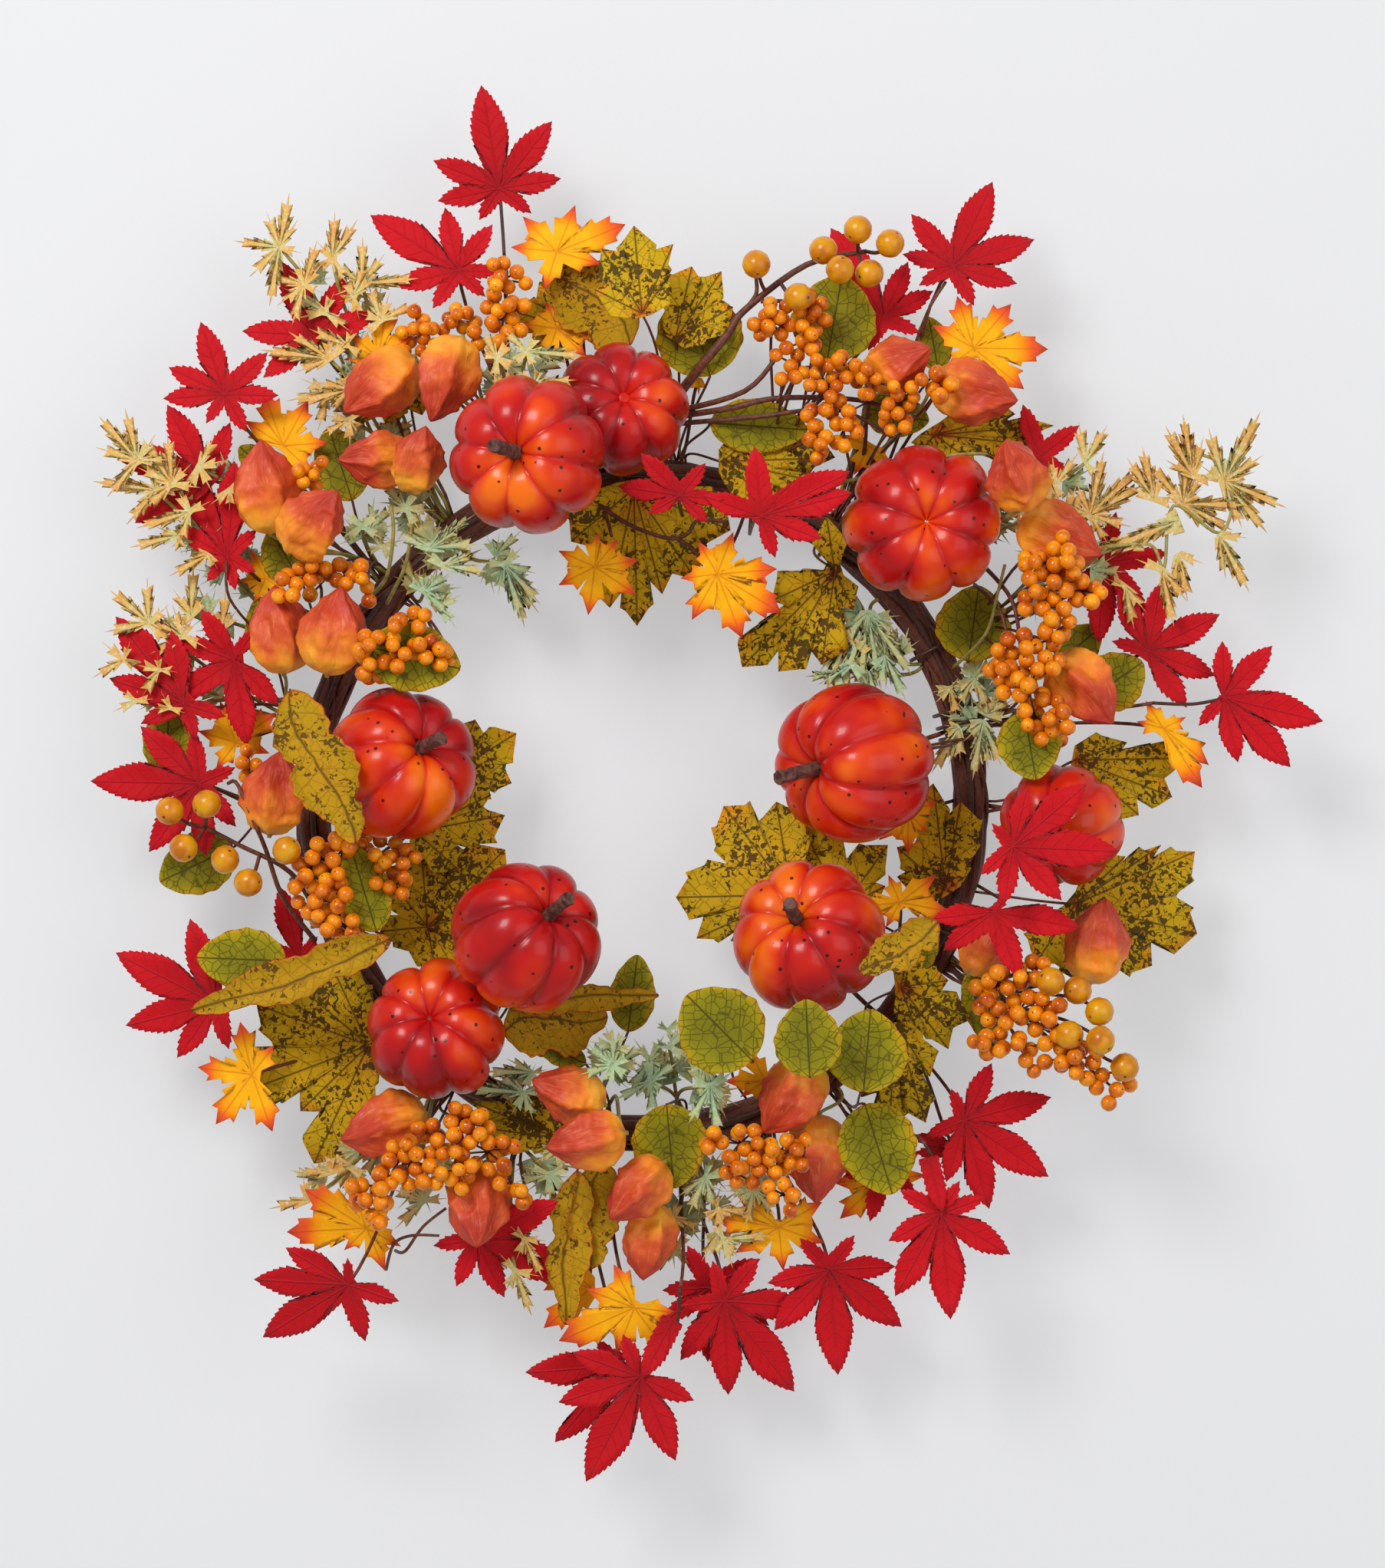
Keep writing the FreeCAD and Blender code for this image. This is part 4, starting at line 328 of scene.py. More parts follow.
def treeOf(objects):
    # one search tree over the faces of several objects
    corners, faces = [], []
    for obj in objects:
        start = len(corners)
        corners += [v.co.copy() for v in obj.data.vertices]
        faces += [tuple(i + start for i in face.vertices) for face in obj.data.polygons]
    return BVHTree.FromPolygons(corners, faces)


def frontOutlines(points, tris):
    # the outlines of the broad faces that look forwards, each as an ordered loop
    a, b, c = points[tris[:, 0]], points[tris[:, 1]], points[tris[:, 2]]
    normal = np.cross(b - a, c - a)
    size = np.linalg.norm(normal, axis=1)
    edges = {}
    for t in tris[(size > 1e-14) & (normal[:, 1] < -0.7 * size)]:
        for p, q in ((t[0], t[1]), (t[1], t[2]), (t[2], t[0])):
            if (q, p) in edges:
                del edges[(q, p)]
            else:
                edges[(p, q)] = True
    follow = dict(edges.keys())
    loops = []
    while follow:
        start = next(iter(follow))
        loop = [start]
        step = follow.pop(start)
        while step != start and step in follow:
            loop.append(step)
            step = follow.pop(step)
        run = points[loop]
        loops.append((min(np.ptp(run[:, 0]), np.ptp(run[:, 2])), run))
    loops.sort(key=lambda item: -item[0])
    return [run for narrow, run in loops if narrow > leastBlade] or [loops[0][1]]


def planeOf(outline):
    # y = depth + slopes, by least squares
    rows = np.c_[np.ones(len(outline)), outline[:, 0], outline[:, 2]]
    return np.linalg.lstsq(rows, outline[:, 1], rcond=None)[0]


tipBend = math.radians(72)
leastLobe = 2 * mm  # shortest edge beside a tip
leastBlade = 7 * mm  # an outline narrower than this is an edge of a plate, not its face


def depthOn(plane, x, z):
    return plane[0] + plane[1] * x + plane[2] * z


def heading(turn):
    return np.array([math.cos(turn), math.sin(turn)])


def lobesOf(outline):
    # the tips of the lobes in order, and the point where their midribs meet; a tip turns by more than tipBend
    flat = outline[:, [0, 2]]
    kept = []
    for k in range(len(flat)):
        u, v = flat[k] - flat[k - 1], flat[(k + 1) % len(flat)] - flat[k]
        if abs(u[0] * v[1] - u[1] * v[0]) > 5e-11 or np.dot(u, v) < 0:
            kept.append(flat[k])
    flat = np.array(kept)
    n = len(flat)
    if sum(flat[k - 1][0] * flat[k][1] - flat[k][0] * flat[k - 1][1] for k in range(n)) < 0:
        flat = flat[::-1]
    rows, right, tips = [], [], []
    for k in range(n):
        before, after = flat[k - 1], flat[(k + 1) % n]
        u, v = flat[k] - before, after - flat[k]
        bend = math.atan2(u[0] * v[1] - u[1] * v[0], float(np.dot(u, v)))
        if bend > tipBend and min(np.linalg.norm(u), np.linalg.norm(v)) > leastLobe:
            way = flat[k] - (before + after) / 2
            way = way / (np.linalg.norm(way) + 1e-12)
            rows.append(np.array([-way[1], way[0]]))
            right.append(float(np.dot(rows[-1], flat[k])))
            tips.append(flat[k])
    if len(tips) >= 2:
        middle = np.linalg.lstsq(np.array(rows), np.array(right), rcond=None)[0]
        middle = np.clip(middle, flat.min(axis=0), flat.max(axis=0))
    else:
        middle = flat.mean(axis=0)
        tips = tips or [flat[int(np.argmax(np.linalg.norm(flat - middle, axis=1)))]]
    return tips, middle


pieces = []


def pieceFrom(name, coords, faces, material, maps=None, extras=None, faceSlots=None):
    mesh = bpy.data.meshes.new(name)
    mesh.from_pydata([tuple(c) for c in coords], [], faces)
    loops = np.zeros(len(mesh.loops), dtype=np.int64)
    mesh.loops.foreach_get("vertex_index", loops)
    for label, values in (maps or {}).items():
        layer = mesh.uv_layers.new(name=label)
        layer.data.foreach_set("uv", np.asarray(values, dtype=np.float32)[loops].reshape(-1))
    for finish in [material] + list(extras or []):
        mesh.materials.append(finish)
    if faceSlots is not None:
        mesh.polygons.foreach_set("material_index", faceSlots)
    mesh.polygons.foreach_set("use_smooth", [True] * len(mesh.polygons))
    mesh.update()
    obj = bpy.data.objects.new(name, mesh)
    bpy.context.scene.collection.objects.link(obj)
    pieces.append(obj)
    return obj


def finishWith(piece, kind, **settings):
    # adds one modifier and applies it
    bpy.ops.object.select_all(action="DESELECT")
    bpy.context.view_layer.objects.active = piece
    piece.select_set(True)
    bpy.ops.object.modifier_add(type=kind)
    modifier = piece.modifiers[-1]
    for name, value in settings.items():
        setattr(modifier, name, value)
    bpy.ops.object.modifier_apply(modifier=modifier.name)
    piece.select_set(False)
    return piece


def gridFaces(rows, columns, wrap=False):
    # quads of a grid laid out row by row
    faces = []
    for r in range(rows - 1):
        for c in range(columns if wrap else columns - 1):
            a, b = r * columns + c, r * columns + (c + 1) % columns
            faces.append((a, b, b + columns, a + columns))
    return faces


class Bundle:
    # gathers many small shapes into one mesh
    def __init__(self):
        self.coords, self.faces, self.maps, self.slots, self.count = [], [], {}, [], 0

    def add(self, coords, faces, maps=None, slot=0, slots=None):
        coords = np.asarray(coords, dtype=float)
        start = self.count
        self.coords.append(coords)
        self.count += len(coords)
        self.faces += [tuple(i + start for i in face) for face in faces]
        self.slots += list(slots) if slots is not None else [slot] * len(faces)
        for label, values in (maps or {}).items():
            self.maps.setdefault(label, []).append((start, np.asarray(values, dtype=float)))

    def make(self, name, material, extras=None):
        maps = {}
        for label, runs in self.maps.items():
            values = np.zeros((self.count, 2))
            for start, run in runs:
                values[start:start + len(run)] = run
            maps[label] = values
        return pieceFrom(name, np.concatenate(self.coords), self.faces, material, maps, extras, self.slots)


def smoothRun(points, steps):
    # a smooth run through the points, ends included
    points = [np.asarray(p, dtype=float) for p in points]
    out = []
    n = len(points)
    for k in range(n - 1):
        p0, p1, p2, p3 = points[max(k - 1, 0)], points[k], points[k + 1], points[min(k + 2, n - 1)]
        for s in range(steps):
            t = s / steps
            out.append(0.5 * (2 * p1 + (p2 - p0) * t + (2 * p0 - 5 * p1 + 4 * p2 - p3) * t * t
                              + (3 * p1 - p0 - 3 * p2 + p3) * t ** 3))
    out.append(points[-1])
    return out


def settle(piece, node):
    # the piece rides on the body of the node that it stands for
    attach(piece, nodes[node]["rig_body"])
    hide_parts(node)


def addition(piece, node):
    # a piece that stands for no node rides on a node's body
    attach(piece, nodes[node]["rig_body"])


def thickened(piece, thick):
    return finishWith(piece, "SOLIDIFY", thickness=thick * mm, offset=0.0)


def titled(words):
    return "".join(w.capitalize() for w in words.split("_"))


# how each kind of lobed leaf is cut and pressed: profile is (part of the lobe, half width as part of its length),
# tooth and step the height and spacing of the teeth in mm, curl how far a tip bends in mm
leafLook = {
    "red": dict(profile=((0.5, 0.17), (0.66, 0.155), (0.82, 0.1), (0.93, 0.045)), notch=0.33, tooth=1.0, step=2.9,
                lean=0.7, fold=0.13, curl=3.2, wrinkle=1.4, thick=0.35),
    "orange": dict(profile=((0.54, 0.175), (0.68, 0.185), (0.83, 0.125), (0.94, 0.055)), notch=0.34, tooth=3.0,
                   step=7.2, lean=0.75, fold=0.09, curl=2.2, wrinkle=0.5, thick=0.35),
    "speckled": dict(profile=((0.7, 0.29), (0.82, 0.26), (0.91, 0.16), (0.965, 0.075)), notch=0.64, tooth=2.6,
                     step=10.5, lean=0.75, fold=0.07, curl=2.2, wrinkle=0.9, thick=0.4),
    "frosted": dict(profile=((0.3, 0.07), (0.5, 0.075), (0.74, 0.05), (0.9, 0.022)), notch=0.17, tooth=2.6,
                    step=5.0, lean=0.92, fold=0.05, curl=3.0, wrinkle=0.6, thick=0.3),
}
# the blade: how many rings it has, how far it stands off the CAD leaf, how wide the fold at the midrib is, how close
# its wrinkles are, and the depth and pitch of the ribs pressed across it, in mm
bladeLook = dict(rings=6, lift=0.3, foldWide=8, waves=95, ribDepth=0.25, ribPitch=2.6, ribRise=2.5)


def toothedSide(notchAt, middle, way, aside, length, look, room, chance):
    # one side of a lobe from the notch to just short of the tip, cut into teeth that lean towards the tip
    tooth, lookAhead = look["tooth"] * mm, 0.4 * mm
    marks = [notchAt]
    for along, half in look["profile"]:
        marks.append(middle + way * length * along + aside * min(half, along * room) * length)
    marks.append(middle + way * length)
    run = np.array(smoothRun(marks, 6))
    gone = np.concatenate([[0], np.cumsum(np.linalg.norm(np.diff(run, axis=0), axis=1))])
    teeth = max(2, int(round(gone[-1] / (look["step"] * mm))))
    out = [notchAt]
    for number in range(teeth):
        size = tooth * chance.uniform(0.65, 1.15) * math.sin(math.pi * (0.12 + 0.8 * (number + 0.7) / teeth))
        for part, lift in ((look["lean"], 1.0), (0.99, 0.0)):
            at = gone[-1] * (number + part) / teeth
            if number == teeth - 1:
                continue
            point, later = [
                np.array([np.interp(spot, gone, run[:, 0]), np.interp(spot, gone, run[:, 1])])
                for spot in (at, at + lookAhead)]
            ahead = later - point
            ahead = ahead / (np.linalg.norm(ahead) + 1e-12)
            outWay = aside - ahead * float(np.dot(aside, ahead))
            outWay = outWay / (np.linalg.norm(outWay) + 1e-12)
            out.append(point + outWay * size * (lift - 0.25) + ahead * size * lift * 0.5)
    return out


def lobedLeaf(plane, middle, tips, kind, chance, tint=None):
    # a leaf cut round its tips, folded at each midrib and bent at each tip
    look, blade = leafLook[kind], bladeLook
    ways = []
    for tip in tips:
        off = np.asarray(tip) - middle
        ways.append((math.atan2(off[1], off[0]), float(np.linalg.norm(off))))
    ways.sort()
    rim, lobeOf = [], []
    count = len(ways)
    for k, (turn, length) in enumerate(ways):
        nextTurn, nextLength = ways[(k + 1) % count]
        gap = (nextTurn - turn) % (2 * math.pi) if count > 1 else 2 * math.pi
        deep = look["notch"] * min(length, nextLength)
        parts = (0.5,)
        if gap > 1.7:
            deep = min(deep, 0.17 * max(length, nextLength))
            parts = (0.25, 0.75)
        notches = [middle + deep * heading(turn + gap * p) for p in parts]
        room = math.tan(min(gap * 0.46, 1.25))
        way = heading(turn)
        left = toothedSide(notches[0], middle, way, np.array([-way[1], way[0]]), length, look, room, chance)
        nextWay = heading(nextTurn)
        back = np.array([nextWay[1], -nextWay[0]])
        right = toothedSide(notches[-1], middle, nextWay, back, nextLength, look, room, chance)
        rim.append(middle + way * length)
        lobeOf.append(k)
        rim += left[::-1]
        lobeOf += [k] * len(left)
        right = right if len(parts) > 1 else right[1:]
        rim += right
        lobeOf += [(k + 1) % count] * len(right)
    shade = chance.random() if tint is None else tint
    curls = [chance.uniform(-0.4, 1.1) * look["curl"] * mm for _ in ways]
    seed = chance.uniform(0, 50)
    coords, place, span = [], [], []
    for ring in range(blade["rings"] + 1):
        s = max(ring / blade["rings"], 0.03)
        for point, lobe in zip(rim, lobeOf):
            turn, length = ways[lobe]
            off = (point - middle) * s
            way = heading(turn)
            along = off[0] * way[0] + off[1] * way[1]
            away = abs(off[0] * way[1] - off[1] * way[0])
            x, z = middle + off
            reach = float(np.linalg.norm(off)) / length
            rise = look["fold"] * min(away, blade["foldWide"] * mm) * (0.4 + reach) + curls[lobe] * reach ** 2.3
            wave = noise.noise(Vector((x * blade["waves"], z * blade["waves"], seed)))
            rise += look["wrinkle"] * mm * wave * min(1.0, reach * 2)
            ribs = math.sin((along - 0.9 * away) / (blade["ribPitch"] * mm))
            rise += blade["ribDepth"] * mm * ribs * min(1.0, away / (blade["ribRise"] * mm))
            coords.append((x, depthOn(plane, x, z) + blade["lift"] * mm - rise, z))
            place.append((max(along, 0.0) * 100, away * 100))
            span.append((min(reach, 1.0), shade))
    faces = gridFaces(blade["rings"] + 1, len(rim), wrap=True)
    faces.append(tuple(range(len(rim)))[::-1])
    return coords, faces, {"leafPlace": place, "leafSpan": span}


# rollTurn is half the angle that a rolled leaf curls round, rollWave how deep its lobes are, rollWide how wide it is
ovalLook = dict(rows=34, columns=17, cup=1.0, edgeWave=0.35, rollTurn=72, rollWave=0.5, rollWide=1.45)


def ovalLeaf(outline, plane, kind, chance):
    # a round leaf with a cupped blade, or a leaf rolled up along its length
    flat = outline[:, [0, 2]]
    middle = flat.mean(axis=0)
    spread = flat - middle
    axis = np.linalg.svd(spread)[2][0]
    ends = [middle + axis * np.max(spread @ axis), middle + axis * np.min(spread @ axis)]
    ends.sort(key=lambda e: abs(math.hypot(e[0] - ringMiddle.x, e[1] - ringMiddle.z) - ringReach * mm))
    base, tip = ends
    length = np.linalg.norm(tip - base)
    way = (tip - base) / length
    side = np.array([-way[1], way[0]])
    width = np.ptp(spread @ side) / 2
    rows, columns = ovalLook["rows"], ovalLook["columns"]
    shade, seed = chance.random(), chance.uniform(0, 50)
    curl = chance.uniform(-1.0, 2.5) * mm
    coords, place, span = [], [], []
    for r in range(rows):
        t = min(max(r / (rows - 1), 0.004), 0.996)
        half = width * (math.sin(math.pi * t ** 0.85)) ** 0.62
        for c in range(columns):
            u = -1 + 2 * c / (columns - 1)
            if kind == "rolled":
                # lobes and small teeth along both edges, curled forwards and twisted a little
                lobes = abs(math.sin(t * 7.5 + (0.7 if u > 0 else 0.0))) ** 0.7
                ragged = 0.72 + ovalLook["rollWave"] * lobes + 0.07 * math.sin(t * 60 + seed)
                turn = u * math.radians(ovalLook["rollTurn"]) + 0.35 * math.sin(t * 3.4 + seed)
                across = half * ovalLook["rollWide"] * ragged * math.sin(turn)
                rise = half * 0.9 * ragged * (1 - math.cos(turn)) * (0.7 + 0.3 * math.sin(t * 5 + seed))
            else:
                across = half * u * (1 + 0.025 * math.sin(t * 30 + seed) * u * u)
                rise = ovalLook["cup"] * mm * abs(u) ** 1.3 * (half / width) + curl * t * t
                rise += ovalLook["edgeWave"] * mm * math.sin(t * 17 + seed) * u * u
            x, z = base + way * length * t + side * across
            rise += 0.5 * mm * noise.noise(Vector((x * 90, z * 90, seed)))
            coords.append((x, depthOn(plane, x, z) + bladeLook["lift"] * mm - rise, z))
            place.append((t * length * 100, abs(u) * half * 100))
            edge = max(abs(u) ** 2.5, (2 * abs(t - 0.5)) ** 3)
            span.append((edge, shade))
    return coords, gridFaces(rows, columns), {"leafPlace": place, "leafSpan": span}, base


stalkEnds = []  # (where a stalk starts, what it carries, the corner it belongs to)


def cornerOf(x, z):
    return ("top" if z >= ringMiddle.z else "bottom") + ("_right" if x >= 0 else "_left")


stalkBehind, leafletBehind = 0.8 * mm, 1.6 * mm  # behind a leaf's plane


def leafShapes(node, kind, bundle, chance, keepStalks=True):
    # a finer leaf in the place of each plate of a CAD node
    for points, tris, own in solidsOf(node):
        for outline in frontOutlines(points, tris):
            plane = planeOf(outline)
            if kind in leafLook:
                tips, middle = lobesOf(outline)
                tint = None
                if kind == "frosted":
                    # the outer sprigs are tanner than those by the canes
                    far = math.hypot(middle[0], middle[1] - ringMiddle.z)
                    tint = min(1.0, max(0.0, (far - 0.12) / 0.1)) * 0.7 + 0.35 * chance.random()
                bundle.add(*lobedLeaf(plane, middle, tips, kind, chance, tint))
                base = middle
                if kind == "frosted":
                    # a smaller leaflet grows behind each, turned between its lobes
                    sway = chance.uniform(-0.5, 0.5)
                    home = np.array([middle[0] * 0.93, ringMiddle.z + (middle[1] - ringMiddle.z) * 0.93])
                    spun = []
                    for tip in tips:
                        off = (np.asarray(tip) - middle) * chance.uniform(0.7, 0.95)
                        spun.append(home + np.array([off[0] * math.cos(sway) - off[1] * math.sin(sway),
                                                     off[0] * math.sin(sway) + off[1] * math.cos(sway)]))
                    back = np.array(plane)
                    back[0] += leafletBehind
                    bundle.add(*lobedLeaf(back, home, spun, kind, chance, min(1.0, tint + 0.15)))
            else:
                coords, faces, maps, base = ovalLeaf(outline, plane, kind, chance)
                bundle.add(coords, faces, maps)
            if keepStalks:
                start = Vector((base[0], depthOn(plane, *base) + stalkBehind, base[1]))
                stalkEnds.append((start, kind, cornerOf(start.x, start.z)))


leafKinds = (
    ("red_leaves_", "red", redFabric, "redLeaves"),
    ("orange_leaves_", "orange", orangeFabric, "orangeLeaves"),
    ("speckled_leaves_", "speckled", speckledFabric, "speckledLeaves"),
    ("round_leaves_", "round", roundFabric, "roundLeaves"),
    ("rolled_leaves", "rolled", rolledFabric, "rolledLeaves"),
    ("frosted_sprigs_", "frosted", frostedPlastic, "frostedSprigs"),
)
for start, kind, material, label in leafKinds:
    for node in sorted(nodes):
        if not node.startswith(start):
            continue
        bundle = Bundle()
        leafShapes(node, kind, bundle, random.Random(node))
        leaf = bundle.make(label + titled(node[len(start):]), material)
        thickened(leaf, leafLook.get(kind, leafLook["red"])["thick"])
        settle(leaf, node)
print("leaves laid")


def tube(path, radius, sides=6, cap=True, drift=0.0):
    # a round rod along a run of points, with its place along and round it in 10 mm steps
    path = [Vector(p) for p in path]
    radii = radius if isinstance(radius, (list, tuple)) else [radius] * len(path)
    coords, place = [], []
    up, gone = None, 0.0
    for k, point in enumerate(path):
        way = (path[min(k + 1, len(path) - 1)] - path[max(k - 1, 0)]).normalized()
        gone += (point - path[k - 1]).length if k else 0.0
        up = up or way.orthogonal().normalized()
        up = (up - way * up.dot(way)).normalized()
        side = way.cross(up)
        for s in range(sides):
            a = 2 * math.pi * s / sides
            coords.append(point + (up * math.cos(a) + side * math.sin(a)) * radii[k])
            place.append((gone * 100 + drift, abs(2 * s / sides - 1) * radii[k] * math.pi * 100 + drift))
    faces = gridFaces(len(path), sides, wrap=True)
    if cap:
        faces.append(tuple(range(sides))[::-1])
        faces.append(tuple((len(path) - 1) * sides + s for s in range(sides)))
    return coords, faces, {"canePlace": place}


# for each piece that bends, where its stalk's joint is (right, up, forward) and the places that the stalk passes
# (right, up) on the front of the leaf, in mm from the middle of the ring
bendingStalks = {
    "red_leaf_top": ((-60, 240, 26.5), (-60.6, 250), (-62, 269)),
    "red_leaf_right": ((223, 44, 32.6), (240, 43.5), (254, 46)),
    "red_leaf_bottom": ((17, -210, 40.4), (14, -232), (0, -249)),
    "red_leaf_low_right": ((123, -147, 48.4), (129, -160), (130, -177)),
    "frosted_sprig_right": ((203, 112, 31.7), (222, 113), (228, 103), (232, 130), (252, 118), (258, 134), (253, 148),
                            (242, 153)),
}
stalkLook = dict(radius=0.75, sides=8, behind=1.3, seenFrom=50)


def placed(spot):
    # a place given as (right, up, forward) in mm from the middle of the ring
    right, up, forward = spot
    return Vector((right, -forward - ringForward, up - ringLow)) * mm


for node, (ball, *passes) in bendingStalks.items():
    chance = random.Random(node)
    kind = "frosted" if node.startswith("frosted") else "red"
    bundle = Bundle()
    leafShapes(node, kind, bundle, chance, keepStalks=False)
    name = titled(node)[0].lower() + titled(node)[1:]
    sheet = bundle.make(name, frostedPlastic if kind == "frosted" else redFabric)
    settle(thickened(sheet, leafLook[kind]["thick"]), node)
    leafTree = treeOf([nodes[node]])
    run = [placed(ball)]
    for right, up in passes:
        x, z = right * mm, (up - ringLow) * mm
        front = leafTree.find_nearest(Vector((x, -stalkLook["seenFrom"] * mm, z)))[0].y
        run.append(Vector((x, front + stalkLook["behind"] * mm, z)))
    stalk = Bundle()
    stalk.add(*tube(smoothRun(run, 6), stalkLook["radius"] * mm, stalkLook["sides"]))
    addition(stalk.make(name + "Stalk", greenStalk if kind == "frosted" else paintedWire), node)
    stalkEnds.append((run[0], kind, cornerOf(run[0].x, run[0].z)))
print("bending leaves laid")


def shapeFaces(obj, choose, *steps):
    # selects faces in code, then runs the edit-mode steps on them
    bpy.context.view_layer.objects.active = obj
    bpy.ops.object.mode_set(mode="EDIT")
    bpy.ops.mesh.select_mode(type="FACE")
    bpy.ops.mesh.select_all(action="DESELECT")
    bpy.ops.object.mode_set(mode="OBJECT")
    for face in obj.data.polygons:
        face.select = choose(face)
    bpy.ops.object.mode_set(mode="EDIT")
    for operator, values in steps:
        operator(**values)
    bpy.ops.object.mode_set(mode="OBJECT")


def mouldOf(adder, **size):
    # a primitive at the origin, to be shaped and then copied
    bpy.ops.object.select_all(action="DESELECT")
    adder(location=(0, 0, 0), **size)
    return bpy.context.object


def meshOf(obj):
    # corners and faces of a mould, which then goes
    corners, faces = [v.co.copy() for v in obj.data.vertices], [tuple(f.vertices) for f in obj.data.polygons]
    bpy.data.objects.remove(obj, do_unlink=True)
    return corners, faces


def ballMould(segments, rings):
    return mouldOf(bpy.ops.mesh.primitive_uv_sphere_add, segments=segments, ring_count=rings, radius=1.0)


# ridge is the round middle line of a pumpkin's flesh, reach how far the flesh stands out from it and tall half its
# height, in mm; then come how deep and sharp the valleys are, how uneven the lobes and how lumpy the skin
pumpkinLook = dict(ridge=14.28, reach=19.72, tall=26.5, groove=0.125, arc=0.92, lobes=8, uneven=0.03, lump=0.5)
# size against a 68 mm one, middle line towards its stem (right, forward, up), how orange its spray is, what shows at
# its far end
pumpkinTable = {
    1: (1.0, (-0.22, 1, 0), 0.0, None),
    2: (0.86, (-0.1, -1, -0.25), -0.06, "boss"),
    3: (1.02, (-0.05, -1, 0.03), 0.02, "cap"),
    4: (1.04, (-0.72, 0.66, -0.12), 0.1, None),
    5: (0.8, (0.3, -0.8, 0.3), 0.02, "dot"),
    6: (0.98, (-0.25, 0.9, 0.38), 0.05, None),
    7: (0.97, (0.52, 0.8, 0.5), -0.04, None),
    8: (0.9, (0.12, -1, -0.35), -0.14, "dot"),
    9: (0.98, (0.45, 0.8, 0.33), 0.12, None),
}
ballCorners, ballFaces = meshOf(ballMould(96, 44))
# how far up the flesh its skin starts to turn in, so that the lobes meet in a dimple
dimpleTurn = math.acos(-pumpkinLook["ridge"] / pumpkinLook["reach"])


def pumpkinShape(middle, axis, scale, orange, chance):
    # eight full lobes that meet in sharp valleys, round an axis with a dimple at each end
    look = pumpkinLook
    turn = Vector((0, 0, 1)).rotation_difference(axis)
    full = [chance.uniform(-look["uneven"], look["uneven"]) for _ in range(look["lobes"])]
    spin = chance.uniform(0, 1)
    coords, place = [], []
    for corner in ballCorners:
        a = math.asin(max(-1.0, min(1.0, corner.z))) / (math.pi / 2) * dimpleTurn
        around = math.atan2(corner.y, corner.x)
        turns = (around / (2 * math.pi / look["lobes"]) + look["lobes"] + 0.5) % look["lobes"]
        lobe = int(turns)
        off = 2 * (turns - lobe) - 1
        sink = (1 - math.sqrt(1 - look["arc"] * off * off)) / (1 - math.sqrt(1 - look["arc"]))
        radial = look["ridge"] + look["reach"] * math.cos(a)
        radial = radial * (1 - look["groove"] * sink + full[lobe] * (1 - off * off))
        height = look["tall"] * math.sin(a) * (1 - 0.4 * look["groove"] * sink)
        point = Vector((radial * math.cos(around), radial * math.sin(around), height)) * scale
        point += point.normalized() * look["lump"] * noise.noise(point * 0.07 + Vector((spin * 30, 0, 0)))
        coords.append(middle + turn @ (point * mm))
        place.append((sink, orange))
    return coords, place


# steps are (rise in mm, scale of the section), pinch makes the ridges, seat is how deep it stands in the dimple
stemLook = dict(
    sides=12, foot=5.0, pinch=0.76, twist=0.13, seat=1.5, lean=0.14, gnarl=0.5,
    steps=((2.5, 0.76), (3.5, 0.9), (4.0, 0.97), (4.0, 1.0), (3.0, 1.06), (2.0, 1.08)),
)
stem = mouldOf(bpy.ops.mesh.primitive_cylinder_add, vertices=stemLook["sides"], radius=stemLook["foot"] * mm,
               depth=2 * mm, end_fill_type="NGON")
for k, corner in enumerate(stem.data.vertices):
    if (k // 2) % 2:
        corner.co.x *= stemLook["pinch"]
        corner.co.y *= stemLook["pinch"]
steps = []
for up, narrow in stemLook["steps"]:
    steps += [
        (bpy.ops.mesh.extrude_region_move, dict(TRANSFORM_OT_translate={"value": (0, 0, up * mm)})),
        (bpy.ops.transform.resize, dict(value=(narrow, narrow, 1), center_override=(0, 0, 0))),
        (bpy.ops.transform.rotate, dict(value=stemLook["twist"], orient_axis="Z", center_override=(0, 0, 0))),
    ]
# the cut end is hollowed a little
steps.append((bpy.ops.mesh.inset, dict(thickness=0.9 * mm)))
steps.append((bpy.ops.transform.translate, dict(value=(0, 0, -0.5 * mm))))
shapeFaces(stem, lambda face: face.normal.z > 0.9, *steps)
finishWith(stem, "SUBSURF", levels=2, render_levels=2)
stemCorners, stemFaces = meshOf(stem)
stemTall = max(c.z for c in stemCorners)
# radius and height in mm and finish of what shows at a far end: a raised boss, a pressed silver cap or a dry dot
farEnds = {"boss": (5.2, 3.4, foamSkin), "cap": (1.7, 2.2, bareSteel), "dot": (2.0, 1.8, twigBark)}
farEndRings = ((0.0, 1.15), (0.45, 1.0), (0.8, 0.72), (0.96, 0.4), (1.0, 0.06))


